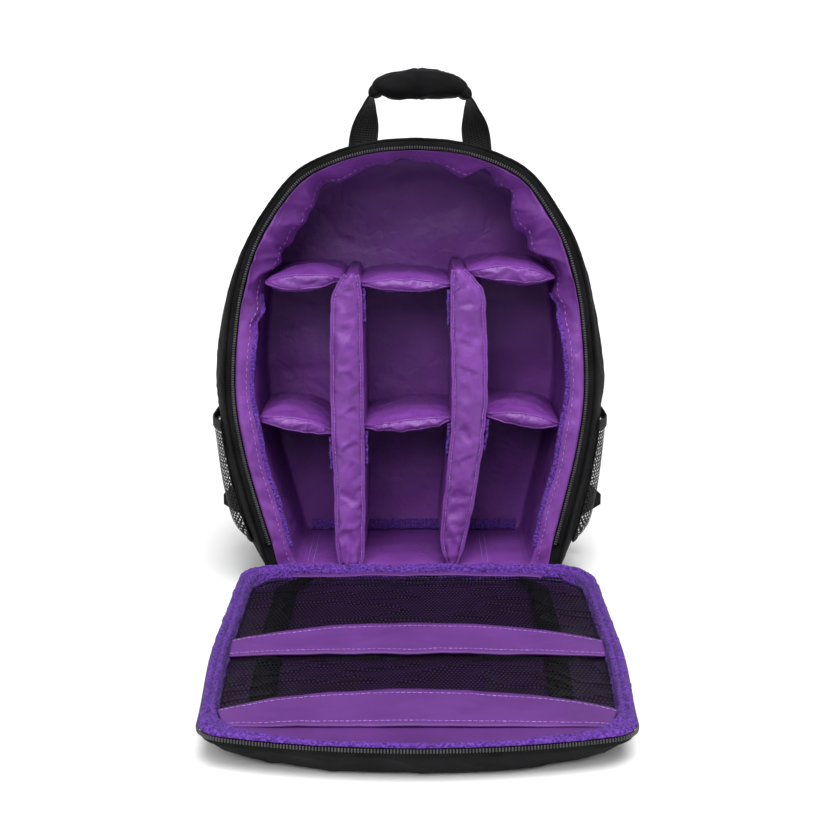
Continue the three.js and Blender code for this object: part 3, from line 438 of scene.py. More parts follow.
nylon = finish("purple_nylon_satin", mottled(28, *NYLON), 0.36, crinkled(1.0), Specular_IOR_Level=0.32)
nylon_taut = finish("purple_nylon_taut", mottled(28, *TAUT), 0.5, crinkled(0.35), Specular_IOR_Level=0.25)
# The fine flecks of the pile colour, about 1.5 mm apart, are painted glints on top of the pile's own varied tone.
loops = finish(
    "purple_loop_pile_painted_glints", mottled(640, *PILE_TONE_AND_PAINTED_GLINTS, 5), 0.95, pile,
    Sheen_Weight=0.04, Sheen_Roughness=0.5, Specular_IOR_Level=0.1,
)
thread = finish("purple_thread", mottled(300, *THREAD), 0.5, pile)

# %% [markdown]
# The black pieces differ mostly in weave: a plain cloth, a ribbed webbing, and the bare thread of the net.

# %% Black finishes
CLOTH = (0.0025, 0.0025, 0.003), (0.0075, 0.0075, 0.0085)
NET = (0.0015, 0.0015, 0.002), (0.005, 0.005, 0.006)
NET_DOUBLE = (0.001, 0.001, 0.0012), (0.0045, 0.0045, 0.005)
ZIP = (0.012, 0.012, 0.013), (0.045, 0.045, 0.047)
PLASTIC = (0.01, 0.01, 0.011), (0.017, 0.017, 0.018)


def plain_weave(tree, where):
    return raised(tree, woven(tree, 0.7, 0.7), 0.22, 0.6, grain(45, 1.5, 0.5, Detail=3)(tree, where))


def ribs(tree, where):
    return raised(tree, woven(tree, 2.4, 1.9), 1.1)


black_cloth = finish("black_plain_weave", mottled(60, *CLOTH), 0.72, plain_weave, Specular_IOR_Level=0.1)
webbing = finish("black_ribbed_webbing", mottled(90, *CLOTH), 0.66, ribs, Specular_IOR_Level=0.26)
net_thread = finish("black_net_thread", mottled(200, *NET), 0.55, grain(1800, 0.15), Specular_IOR_Level=0.1)
net_double = finish("black_net_doubled", mottled(300, *NET_DOUBLE), 0.85, grain(900, 0.3), Specular_IOR_Level=0.08)
coil = finish("black_zip_nylon", mottled(80, *ZIP), 0.35, grain(700, 0.1))
plastic = finish("black_moulded_plastic", mottled(40, *PLASTIC), 0.38, grain(1500, 0.06, 0.7, Detail=2))


def dress(piece, material, *nodes):
    """Gives a piece its finish and its place on the bag, and lets it stand for these solids."""
    piece.data.materials.clear()
    piece.data.materials.append(material)
    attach(piece, "root")
    if nodes:
        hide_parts(*nodes)
    print(f"{piece.name}: {len(piece.data.polygons)} faces")
    return piece


# %% [markdown]
# ## The outline of the body
# Seen from the front the body is an egg with a flat base. The table holds its height and its half width at the
# rim and at the belly, as shares. Rings of 58 points are inset like cut cloth, with mitred corners, and only
# then refined, because a fine ring that is inset first would cross itself in the base's corners.

# %% Rings of the body
HEIGHT, DEPTH, RIM_HALF, BELLY_HALF = 333, 116, 132, 144
RIM_Y, BACK_Y = -DEPTH / 2, DEPTH / 2
EGG = [
    (0.74, 0.0, 0.7), (0.785, 0.03, 0.75), (0.806, 0.08, 0.815), (0.833, 0.12, 0.858), (0.898, 0.22, 0.928),
    (0.951, 0.31, 0.966), (0.994, 0.42, 0.992), (1.0, 0.5, 1.0), (0.989, 0.56, 0.978), (0.962, 0.65, 0.937),
    (0.915, 0.73, 0.88), (0.85, 0.8, 0.81), (0.762, 0.86, 0.72), (0.62, 0.93, 0.58), (0.4, 0.975, 0.375),
    (0.19, 0.995, 0.18), (0.0, 1.0, 0.0),
]


def outline():
    """Rim share, height share and belly share round the body, from the middle of the base to the right."""
    fine = spline(EGG, np.linspace(0, 1, 401))
    steps = np.hypot(np.diff(fine[:, 0]) * RIM_HALF, np.diff(fine[:, 1]) * HEIGHT)
    run = np.concatenate([[0], np.cumsum(steps * np.where(fine[1:, 1] > 0.7, 1.9, 1.0))])
    right = np.array([fine[np.argmax(run >= run[-1] * k / 28)] for k in range(28)])
    left = (right * [-1, 1, -1])[::-1]
    return np.vstack([[0, 0, 0], right, [0, 1, 0], left])


OUTLINE = outline()


def sway(z):
    """How far the body leans to the left at a height."""
    return -4.5 * np.sqrt(np.sin(np.pi * np.clip(z / HEIGHT, 0, 1)))


def coarse_ring(y, growth=0.0, side=0.0, top=None, base=None):
    """The body's outline at a depth, inset at its sides, top and base. growth runs from rim to belly."""
    top = side if top is None else top
    base = side if base is None else base
    half = lerp(OUTLINE[:, 0] * RIM_HALF, OUTLINE[:, 2] * BELLY_HALF, growth)
    flat = np.stack([half, OUTLINE[:, 1] * HEIGHT], axis=1)
    before = flat - np.roll(flat, 1, axis=0)
    before /= np.linalg.norm(before, axis=1, keepdims=True)
    after = np.roll(before, -1, axis=0)
    inward = np.stack([-before[:, 1] - after[:, 1], before[:, 0] + after[:, 0]], axis=1)
    inward /= 1 + (before * after).sum(axis=1, keepdims=True)
    tilt = inward[:, 1] / np.linalg.norm(inward, axis=1)
    inset = lerp(side, np.where(tilt < 0, top, base), np.abs(tilt))
    flat = flat + inward * inset[:, None]
    return np.stack([flat[:, 0] + sway(flat[:, 1]), np.full(len(flat), float(y)), flat[:, 1]], axis=1)


ARCH_STEPS, BASE_STEPS = 7, 32


def ring(y, growth=0.0, side=0.0, top=None, base=None):
    """A fine ring: a smooth arch from one corner of the base round to the other, and a straight base."""
    rough_ring = coarse_ring(y, growth, side, top, base)
    arch = spline(rough_ring[1:], np.linspace(0, 1, 56 * ARCH_STEPS + 1))
    low_left, low_right = rough_ring[-1], rough_ring[1]
    low = lerp(low_left, low_right, np.linspace(0, 1, BASE_STEPS + 1)[1:-1, None])
    half = BASE_STEPS // 2 - 1
    return np.concatenate([low[half:], arch, low[:half]])


def inward(line):
    """The way into the bag, square to a ring, in the ring's own plane."""
    ahead = np.roll(line, -1, axis=0) - np.roll(line, 1, axis=0)
    facing = np.stack([-ahead[:, 2], np.zeros(len(line)), ahead[:, 0]], axis=1)
    return facing / np.linalg.norm(facing, axis=1, keepdims=True)


def x_at(line, side, z):
    """X of a ring at a height, on its left (-1) or right (+1) side."""
    part = line[line[:, 0] * side > 0]
    part = part[np.argsort(part[:, 2])]
    return np.interp(z, part[:, 2], part[:, 0])


def turn_of(line):
    """Degrees from the top of the arch to each point, minus to the left."""
    return np.degrees(np.arctan2(line[:, 0] - sway(line[:, 2]), line[:, 2] - HEIGHT / 2))


RIM = ring(RIM_Y)
TURN = turn_of(RIM)
print("a ring has", len(RIM), "points")

# %% [markdown]
# ## Outer shell
# The outside is soft black cloth over thin foam. It is a bowl: its sections grow from the rim to the belly and
# draw in again at the back. The front edge is turned in and carries the zip. Long shallow dents and a little
# sag between the seams keep it from looking moulded.

# %% Shell
BACK_INSET = 13
GROWTH = table((0, 0), (0.1, 0.6), (0.3, 1.0), (0.68, 1.0), (0.88, 0.7), (1, 0.5))
shell_growth = lambda depth: float(np.clip(GROWTH(depth), 0, 1))


def shell_ring(depth, inset=0.0, y=None):
    back = float(ease((depth - 0.85) / 0.15)) * BACK_INSET
    y = lerp(RIM_Y, BACK_Y, depth) if y is None else y
    return ring(y, shell_growth(depth), inset + back, inset + back * 0.8, inset)


def make_shell():
    depths = np.concatenate([1 - 0.15 * np.linspace(0, 1, 9) ** 1.3, np.linspace(0.85, 0.0, 30)[1:]])
    outer = np.array([shell_ring(depth) for depth in depths])
    held = np.clip(np.minimum(depths / 0.12, (1 - depths) / 0.1), 0, 1)[:, None]
    above = ease((outer[:, :, 2] - 8) / 30)
    dents = 1.3 * rough(outer, (46, 30, 60), 3) + 0.9 * creases(outer, (60, 16, 34), 5) * ease(np.abs(TURN) / 40)
    facing = lean_to(outer, (20, 100), outer[20, 100] * [1, 0, 0])
    outer = outer + facing * (dents * held * above)[:, :, None]
    back = [row + [0, -1.6 * bump_at(k, 5, 1.0), 0] for k, row in enumerate(cap(outer[0], 14))]
    inner = [
        ring(RIM_Y, 0, 0.8), ring(RIM_Y - 0.4, 0, 1.6), ring(RIM_Y - 0.2, 0, 5.2), ring(RIM_Y + 0.4, 0, 6),
        ring(RIM_Y + 2.4, 0, 6), ring(RIM_Y + 3, 0, 3),
        *(shell_ring(depth, 3) for depth in (0.1, 0.3, 0.68, 0.88)), ring(BACK_Y - 3, 0.5, 16, 13.4, 3),
    ]
    rows = [*reversed(back), *outer, *inner, *cap(inner[-1], 3)]
    return skin("shell_cloth", rows)


dress(make_shell(), black_cloth, "shell")

# %% [markdown]
# Piping covers the seams where the side strip meets the front and the back. It is a thin cord in cloth, so it
# is swept round the same rings.

# %% Piping and back seams
front_line = ring(RIM_Y + 1.5, 0.12, -0.9)
front_line[:, 2] = np.maximum(front_line[:, 2], 1.6)
dress(strip("shell_piping_front", front_line, [0, 1, 0], oval(2.6, 2.6, 8), True, 0.25, 2), black_cloth)
back_line = shell_ring(0.93, -0.7)
back_line[:, 2] = np.maximum(back_line[:, 2], 1.8)
dress(strip("shell_piping_back", back_line, [0, 1, 0], oval(3, 3, 8), True, 0.2, 3), black_cloth)

# %% [markdown]
# ## Lining
# The purple inner bag is padded. Round the opening it is gathered into a facing that shows as a puckered
# strip. Then it turns in at a stitched seam and runs back along the walls. The widest folds hang in the two
# top corners, where the curve is tightest and the cloth has nowhere to go.

# %% Gathers of the facing
FLOOR_TOP, BACK_PAD, FACING, ROOF_PAD = 22, 10, 11.5, 7
LIP_EDGE, TURN_DEPTH, ARCH_DEPTH = 6.3, 13.5, 34
LINING_BACK_Y = BACK_Y - 3 - BACK_PAD
# degrees from the top of the arch, and how wide the gathered facing is there, as a share of FACING
GATHERS = [
    (-180, 1.0), (-66, 0.95), (-57, 0.8), (-50, 1.25), (-43, 1.55), (-38, 1.6), (-34, 1.35), (-26, 1.1),
    (-18, 1.15), (-10, 0.8), (0, 0.75), (7, 0.9), (13, 1.4), (19, 0.6), (25, 1.1), (30, 0.7), (34, 1.75),
    (39, 1.95), (45, 1.6), (51, 1.15), (56, 0.8), (66, 1.1), (180, 1.0),
]
gather = table(*GATHERS)


def lip_more(line):
    """How much further the gathered lip reaches into the opening, beyond the wall, at each point of a ring."""
    turn = turn_of(line)
    upper = ease((line[:, 2] / HEIGHT - 0.5) * 6)
    plain = lerp(FACING, ROOF_PAD, upper * np.clip(1 - np.abs(turn) / 90, 0, 1))
    waves = 0.09 * np.sin(np.radians(turn) * 31) + 0.07 * np.sin(np.radians(turn) * 47 + 1)
    return upper * ((gather(turn) + waves) * FACING - plain) + (1 - upper) * 0.6 * np.sin(line[:, 2] / 9)


def room(y, less=0.0):
    return ring(y, 0, LIP_EDGE + FACING + less, LIP_EDGE + ROOF_PAD + less, FLOOR_TOP)


FOLDS = np.random.default_rng(7)
# turn, half width, height and slant of each small fold
FOLD_ROWS = [
    (
        turn, FOLDS.uniform(1.0, 2.4),
        FOLDS.uniform(0.7, 2.0) * (1.5 if 30 < abs(turn) < 56 else 0.9), FOLDS.uniform(-5, 5),
    )
    for turn in np.arange(-146, 147, 3.6) + FOLDS.uniform(-1.4, 1.4, 82)
]


def facing_folds(turn, share):
    """Height of the small folds across the facing. share is 0 at the shell and 1 at the inner seam."""
    height = np.zeros_like(turn)
    for middle, width, tall, slant in FOLD_ROWS:
        height += tall * bump_at(turn, middle + slant * (share - 0.5), width * (0.6 + 0.5 * share))
    return 0.75 * height * np.sin(np.pi * min(share * 0.9 + 0.06, 1)) ** 0.7


# turn, half width and height of the large folds, and how far each leans over
BIG_FOLDS = [
    (-74, 3.0, 2.6, 7), (-66, 3.0, 4.2, -8), (-58, 2.6, 3.4, 8), (-50, 3.2, 4.6, -6), (-41, 3.0, 3.4, 6),
    (-32, 3.6, 3.8, -5), (-21, 4.2, 2.2, 6), (-9, 5.0, 1.8, -4), (6, 4.4, 2.0, 5), (18, 3.8, 2.8, -6),
    (28, 3.2, 3.0, 5), (36, 3.0, 4.6, -6), (44, 2.8, 3.8, 7), (52, 3.2, 4.8, -7), (60, 2.8, 3.6, 6),
    (68, 3.0, 3.6, -5), (75, 2.6, 2.4, 5),
]


def hanging_folds(turn, share):
    """Height of the large folds: a sharp crest between soft hollows."""
    height = np.zeros_like(turn)
    for middle, width, tall, slant in BIG_FOLDS:
        height += 1.7 * tall * np.exp(-np.abs((turn - middle - slant * (share - 0.4)) / width) ** 1.2)
    return height * np.sin(np.pi * min(share * 0.85 + 0.02, 1)) ** 0.8


# how far back the facing hangs: not at the sides, deep under the arch
DEEP = ARCH_DEPTH * ease((84 - np.abs(TURN)) / 30)
ARCH = DEEP / ARCH_DEPTH
FOLDS_SINK, FOLDS_RISE = 0.1 + 0.6 * ARCH, 1 - 0.35 * ARCH


def all_folds(share):
    return facing_folds(TURN, share) + hanging_folds(TURN, share) * (0.15 + 0.85 * ARCH)


# %% Lining
def make_lining():
    outer = [
        ring(BACK_Y - 3.6, 0.4, BACK_INSET + 6, None, 6), ring(BACK_Y - 15, 0.5, 6, None, 3.6),
        ring(lerp(RIM_Y, BACK_Y, 0.3), 0.5, 4.6, None, 3.6), ring(RIM_Y + 7.2, 0, 4.6, None, 3.6),
        ring(RIM_Y + 4, 0, LIP_EDGE),
    ]
    edge, plain = ring(RIM_Y, 0, LIP_EDGE), room(RIM_Y)
    into = inward(plain)
    more = lip_more(plain)[:, None]
    lip = plain + into * more
    level = ease((plain[:, 2] - 26) / 10)
    facing = []
    for share in np.linspace(0, 1, 21):
        folds = all_folds(share) * level
        row = lerp(edge, lip, share) + into * (folds * FOLDS_SINK)[:, None]
        proud = 1.5 * math.sin(math.pi * share**0.8) * level * (1 - ARCH) + folds * FOLDS_RISE
        row[:, 1] = RIM_Y - 0.3 + 3.5 * share**1.4 + DEEP * share**0.8 - proud
        facing.append(row)
    turned = []
    for share in np.linspace(0, 1, 9)[1:]:
        fall = 1 - 0.2 * ease(share / 0.55) - 0.8 * ease((share - 0.4) / 0.6)
        row = plain + into * (more * fall - 0.8 * math.sin(math.pi * share))
        folds = all_folds(1.0) * (1 - share) * level
        row += into * (folds * FOLDS_SINK)[:, None]
        row[:, 1] = lerp(RIM_Y + 3.2, RIM_Y + TURN_DEPTH, share) + DEEP - folds * FOLDS_RISE
        turned.append(row)
    wall = np.array([room(0) for _ in range(17)])
    down_wall = np.linspace(0, 1, 18)[1:, None]
    wall[:, :, 1] = lerp(RIM_Y + TURN_DEPTH + DEEP[None], LINING_BACK_Y - BACK_PAD, down_wall)
    between = np.sin(np.pi * np.linspace(0.02, 1, len(wall))) ** 0.7
    dents = 1.4 * creases(wall, (14, 40, 22), 11) + 1.0 * (rough(wall, (24, 40, 30), 12) + 0.3)
    wall = wall - into[None] * (dents * between[:, None] * level)[:, :, None]
    corner = []
    for angle in (share * math.pi / 2 for share in np.linspace(0, 1, 6)[1:]):
        y = lerp(LINING_BACK_Y - BACK_PAD, LINING_BACK_Y - 0.6, math.sin(angle))
        corner.append(room(y, 3 * (1 - math.cos(angle))))
    back = np.array(cap(corner[-1] + [0, 0.6, 0], 26, 1.15))
    held = np.sin(np.pi * np.linspace(0, 1, len(back)) ** 0.5) ** 0.5
    back[:, :, 1] += (1.3 * rough(back, (50, 50, 26), 21) + 0.7 * creases(back, (60, 60, 30), 22)) * held[:, None]
    rows = [*reversed(cap(outer[0], 3)), *outer, *facing, *turned, *wall, *corner, *back]
    return skin("lining_cloth", rows), facing


lining, FACING_ROWS = make_lining()
dress(lining, nylon, "lining")

# %% [markdown]
# A row of stitches holds the facing just before it turns in. A narrow edge of loop pile follows it down each
# side, and another lies at the foot of the back wall, because the shelves and dividers fasten there. Two pairs
# of stitched lines cross the floor.

# %% Stitches and loop strips of the lining
seam_row = FACING_ROWS[-7] - [0, 0.5, 0]
dress(sew("lining_stitches", seam_row, inward(seam_row), 4.6, True), thread)


def loop_edge(name, side):
    """A fuzzy edge of pile down one side of the opening, just inside the stitches."""
    row = FACING_ROWS[-1]
    line = row - inward(row) * 0.3 + [0, 0.5, 0]
    line = line[(line[:, 0] * side > 0) & (line[:, 2] > 37) & (line[:, 2] < 224)]
    line = even(line[np.argsort(line[:, 2])], 260)
    line[:, 0] += 0.5 * rough(line, (20, 20, 5), 31 + side)
    return strip(name, line, [side, 0, 0], oval(5.2, 3.4, 14, 0.8), False, 0.4, 33 + side)


for side, word in ((-1, "left"), (1, "right")):
    dress(loop_edge(f"lining_loop_{word}", side), loops)

foot = np.array([(x, LINING_BACK_Y - 3.4, FLOOR_TOP + 4.6) for x in np.linspace(-84, 80, 300)])
foot[:, 2] += 0.8 * rough(foot, (6, 20, 20), 37)
dress(strip("lining_loop_foot", foot, [0, 0, 1], oval(8.5, 2.2, 14, 0.7), False, 0.35, 38), loops)

for spot, word in ((-79, "left"), (52, "right")):
    for step in (-2, 2):
        ys = np.linspace(RIM_Y + 12, LINING_BACK_Y - 14, 60)
        line = np.array([(spot + step, y, FLOOR_TOP + 0.15) for y in ys])
        dress(sew(f"lining_floor_{word}_{'a' if step < 0 else 'b'}", line, [1, 0, 0], 3.6), thread)
# %% [markdown]
# ## Zip round the opening
# A zip is a woven tape with a row of nylon teeth along its edge. One tooth is a small bevelled block, and its
# copies follow the tape. The tape starts and ends beside the hinge of the panel.

# %% Body zip
TOOTH_PITCH = 1.75
tooth = small_block((1.15, 2.3, 1.4), 0.8, 0.3)


def open_part(line, low):
    """The part of a ring above a height, from its right foot over the top to its left foot."""
    kept = line[:, 2] > low
    start = np.argmax(kept)
    return np.roll(line, -start, axis=0)[: int(kept.sum())]


tape = open_part(ring(RIM_Y - 1.0, 0, 3.0), 38)
dress(strip("body_zip_tape", tape, inward(tape), oval(5.2, 1.1, 10, 0.4)), black_cloth, "body_zip")
teeth_line = open_part(ring(RIM_Y - 2.1, 0, 4.6), 39)
dress(repeat("body_zip_teeth", tooth, *along(teeth_line, TOOTH_PITCH, inward(teeth_line))), coil)

# %% [markdown]
# ## Padding
# Padded cloth is swollen by a simulation. Its seams are pinned, air pressure fills it, and the cloth is let
# grow by a few hundredths, so it puckers against the seams. No point may move further than a cap, which keeps
# the piece in its place. The result is applied, and the seams and stitches are laid on it after that.


# %% Pressure
PRESSURE, PUFF_CAP, PUFF_FRAMES, PIN_REACH = 4.0, 1.6, 20, 0.4


def puff(piece, pins, grow):
    """Swells a closed cloth piece between its pinned points. Its cloth may grow by this share."""
    tree = kdtree.KDTree(len(pins))
    for k, pin in enumerate(pins.tolist()):
        tree.insert(pin, k)
    tree.balance()
    before = places_of(piece)
    held = [k for k, place in enumerate(before.tolist()) if tree.find(place)[2] < PIN_REACH]
    group = piece.vertex_groups.new(name="held")
    group.add(held, 1.0, "REPLACE")
    scene = bpy.context.scene
    scene.frame_set(1)
    only(piece)
    step = piece.modifiers.new("Swell", "CLOTH")
    step.settings.vertex_group_mass = "held"
    step.settings.use_pressure = True
    step.settings.uniform_pressure_force = PRESSURE
    step.settings.effector_weights.gravity = 0
    step.settings.shrink_min = -grow
    step.settings.quality = 5
    step.point_cache.frame_start, step.point_cache.frame_end = 1, PUFF_FRAMES
    for number in range(1, PUFF_FRAMES + 1):
        scene.frame_set(number)
    bpy.ops.object.modifier_apply(modifier=step.name)
    scene.frame_set(1)
    piece.vertex_groups.clear()
    moved = places_of(piece) - before
    far = np.linalg.norm(moved, axis=1, keepdims=True)
    moved *= np.minimum(1, PUFF_CAP / np.maximum(far, 1e-6))
    move_to(piece, before + moved)
    print(f"{piece.name}: {len(held)} points held, swelled by {far.mean():.2f} mm, at most {far.max():.1f}")
    return piece


# %% [markdown]
# ## Padded dividers
# Each divider is a foam board in a nylon sleeve. A satin strip covers its front edge, and the seam on each side
# of the strip draws the foam in, so the strip swells between two lines of stitches.

# %% Shapes of the dividers
CELL_FRONT, CELL_BACK = RIM_Y + 7, LINING_BACK_Y - 0.3
DIVIDER_BASE, DIVIDER_THICK = FLOOR_TOP + 0.3, 23
DIVIDERS = {
    # the top as a share of HEIGHT, then rows of height, middle and thickness, also as shares
    "divider_left": (0.716, table(
        (0.0, -0.37, 0.62), (0.04, -0.37, 0.85), (0.22, -0.37, 0.93), (0.55, -0.378, 1.0), (0.9, -0.378, 0.93),
        (0.96, -0.367, 0.7), (1.0, -0.35, 0.3),
    )),
    "divider_right": (0.727, table(
        (0.0, 0.206, 0.15), (0.11, 0.213, 0.8), (0.27, 0.252, 0.95), (0.55, 0.295, 1.08), (0.9, 0.281, 1.05),
        (0.96, 0.26, 0.75), (1.0, 0.23, 0.3),
    )),
}


def divider_x(name, side, y, z):
    """X of a divider's left (-1) or right (+1) face."""
    top, shape = DIVIDERS[name]
    share = np.clip((z - DIVIDER_BASE) / (top * HEIGHT - DIVIDER_BASE), 0, 1)
    edge = 1 - 0.14 * np.abs(2 * (y - CELL_FRONT) / (CELL_BACK - CELL_FRONT) - 1) ** 4
    return shape(share, 1) * RIM_HALF + side * shape(share, 2) * DIVIDER_THICK * edge / 2


def make_divider(name, seed):
    top = DIVIDERS[name][0] * HEIGHT
    heights = lerp(DIVIDER_BASE, top, np.linspace(0, 1, 110))
    across = np.linspace(-1, 1, 15)
    deep = np.linspace(0, 1, 26)[1:] ** 1.2
    rows = []
    for z in heights:
        left, right = (float(divider_x(name, s, CELL_FRONT, z)) for s in (-1, 1))
        front = [(lerp(left, right, (a + 1) / 2), CELL_FRONT - 3.8 * (1 - a * a) ** 0.75, z) for a in across]
        y = lerp(CELL_FRONT, CELL_BACK, deep)
        sunk = 0.7 * np.exp(-deep * 9)
        to_back = [(float(divider_x(name, 1, b, z)) - s, b, z) for b, s in zip(y, sunk)]
        to_front = [(float(divider_x(name, -1, b, z)) + s, b, z) for b, s in zip(y, sunk)][::-1]
        rows.append(front + to_back + to_front)
    rows = np.array(rows)
    share = ((heights - DIVIDER_BASE) / (top - DIVIDER_BASE))[:, None]
    facing = lean_to(rows, (50, 7), [0, -1, 0])
    on_front = np.zeros(rows.shape[1])
    on_front[:15] = 1 - across**4
    ends = bump_at(share, 0.0, 0.05) + bump_at(share, 1.0, 0.04)
    puckers = creases(rows, (34, 30, 16), seed) * 0.7 + creases(rows, (16, 30, 30), seed + 5) * 0.6
    puckers += rough(rows, (18, 30, 18), seed + 1) * 0.9
    crush = np.sin(rows[:, :, 0] * 1.1 + 2 * rough(rows, 14, seed + 2)) * 1.1 * bump_at(share, 0.02, 0.07)
    front_relief = on_front[None] * (puckers * (1 - 0.5 * ends) + crush)
    side_relief = 0.4 * (1 - on_front[None]) * creases(rows, (30, 26, 20), seed + 3)
    rows = rows + facing * (front_relief - side_relief)[:, :, None]
    rows[:, :, 2] += on_front[None] * 0.6 * rough(rows, 9, seed + 4)
    seams = [rows[:, k].copy() for k in (0, 14)]
    foot, head = cap(rows[0], 2), cap(rows[-1], 2)
    piece = skin(name + "_cloth", [*reversed(foot), *rows, *head])
    pins = np.concatenate([rows[:, [0, 14, 39, 40]].reshape(-1, 3), rows[0], rows[-1], *foot, *head])
    return puff(piece, pins, 0.022), seams


for name, seed in (("divider_left", 41), ("divider_right", 57)):
    piece, seams = make_divider(name, seed)
    dress(piece, nylon, name)
    for line, side, word in zip(seams, (-1, 1), ("left", "right")):
        edge = even(line + [side * 1.0, -0.4, 0], 260)
        edge[:, 0] += side * 0.5 * rough(edge, (30, 30, 9), seed + 6)
        flange = strip(f"{name}_flange_{word}", edge, [1, -0.35 * side, 0], oval(3.0, 0.9, 8), False, 0.1, seed)
        dress(flange, nylon)
        dress(sew(f"{name}_stitches_{word}", edge + [-side * 1.1, -0.75, 0], [1, 0, 0], 3.0), thread)
    share = np.linspace(0, 1, 30)
    join = lerp(seams[0][-9], seams[1][-3], share[:, None])
    join = join - np.array([0, 1, 0]) * (0.6 + 2.6 * np.sin(np.pi * share) ** 0.7)[:, None]
    dress(strip(f"{name}_join", join, [0, 0.2, 1], oval(2.0, 1.2, 8), False, 0.1, seed), nylon)

# %% [markdown]
# ## Padded shelves
# A shelf is a thin pillow whose two ends are sewn flat. Between them it swells like a lens, and a band closes
# its front edge. Its seams are piped, and the cloth creases towards the pinched ends.

# %% Shapes of the shelves
SHELF_THICK, SHELF_SEAM = 17, 2.6
# what carries each end, the ends' heights and the sag as shares of HEIGHT, and the thickness as a share
SHELVES = {
    "shelf_top_left": ("wall", "divider_left", 0.698, 0.704, 0.0, 1.0),
    "shelf_top_middle": ("divider_left", "divider_right", 0.695, 0.692, 0.0, 0.7),
    "shelf_top_right": ("divider_right", "wall", 0.718, 0.709, 0.004, 1.0),
    "shelf_low_left": ("wall", "divider_left", 0.396, 0.366, 0.006, 0.9),
    "shelf_low_middle": ("divider_left", "divider_right", 0.379, 0.397, -0.003, 0.7),
    "shelf_low_right": ("divider_right", "wall", 0.406, 0.383, 0.003, 0.85),
}
ROOMS = [room(0, 1.0), room(0, 4.0)]


def wall_x(side, y, z):
    """X of the lining's inner wall, which narrows in front of the back pad."""
    narrow = np.clip((y - LINING_BACK_Y + BACK_PAD) / BACK_PAD, 0, 1)
    return lerp(*(x_at(line, side, z) for line in ROOMS), narrow)


def end_x(neighbour, side, y, z):
    return wall_x(-side, y, z) if neighbour == "wall" else divider_x(neighbour, side, y, z)


def make_shelf(name, seed):
    start, stop, left, right, sag, thick = SHELVES[name]
    across = np.linspace(-1, 1, 76)
    band, top = np.linspace(-1, 1, 11), np.linspace(0, 1, 30)[1:]
    rows = []
    for a in across:
        share = (a + 1) / 2
        middle = HEIGHT * (lerp(left, right, share) + sag * (1 - a * a))
        lens = 1 - abs(a) ** 2.4
        front = CELL_FRONT + 5.6 * a**4
        crown = 2.4 * lens
        section = []
        for up in band:
            height = lerp(SHELF_SEAM, SHELF_THICK * thick, lens)
            section.append((front - crown * (1 - up * up) ** 0.7, middle + up * height * 0.31))
        for way in (1, -1):
            part = []
            for b in top:
                height = lerp(SHELF_SEAM, SHELF_THICK * thick, lens * (1 - 0.5 * b**2))
                grow = lerp(0.62, 1.0, math.sin(min(b * 3.2, 1) * math.pi / 2))
                shut = 1 - 0.45 * ease((b - 0.88) / 0.12)
                part.append((lerp(front, CELL_BACK, b), middle + way * height * grow * shut / 2))
            section += part if way > 0 else part[::-1]
        section = np.array(section)
        x0 = end_x(start, 1, section[:, 0], section[:, 1]) + 0.8
        x1 = end_x(stop, -1, section[:, 0], section[:, 1]) - 0.8
        rows.append(np.stack([lerp(x0, x1, share), section[:, 0], section[:, 1]], axis=1))
    rows = np.array(rows)
    facing = lean_to(rows, (38, 5), [0, -1, 0])
    near_ends = ease((np.abs(across) - 0.35) / 0.6)[:, None]
    pulled = np.sin(rows[:, :, 1] * 0.55 + 3 * rough(rows, 22, seed)) * near_ends * 0.7
    soft = rough(rows, (24, 26, 16), seed + 1) + creases(rows, (26, 34, 14), seed + 2) * 0.9
    soft += creases(rows, (16, 20, 26), seed + 3) * 0.5
    held = (1 - np.abs(across) ** 6)[:, None]
    rows = rows + facing * ((soft + pulled - 0.5) * held)[:, :, None]
    seams = [rows[:, k].copy() for k in (0, 10)]
    piece = skin(name + "_cloth", [*reversed(cap(rows[0], 1)), *rows, *cap(rows[-1], 1)])
    pins = np.concatenate([part.reshape(-1, 3) for part in (rows[:, [0, 10, 39, 40]], rows[:3], rows[-3:])])
    return puff(piece, pins, 0.035), seams


for seed, name in enumerate(SHELVES):
    piece, seams = make_shelf(name, 70 + 5 * seed)
    dress(piece, nylon, name)
    for line, word in zip(seams, ("low", "high")):
        line = even(line[2:-2], 110)
        dress(strip(f"{name}_piping_{word}", line, [0, 1, 0], oval(1.5, 1.3, 8), False, 0.12, seed), nylon)

# %% [markdown]
# ## Hook tabs
# The ends of the shelves are fastened with short tabs, folded down on the dividers. Their cut edges are
# frayed, so the outline wanders.

# %% Tabs
TAB_LENGTH, TAB_NEAR, TAB_FAR = 24, CELL_FRONT + 2, CELL_FRONT + 22
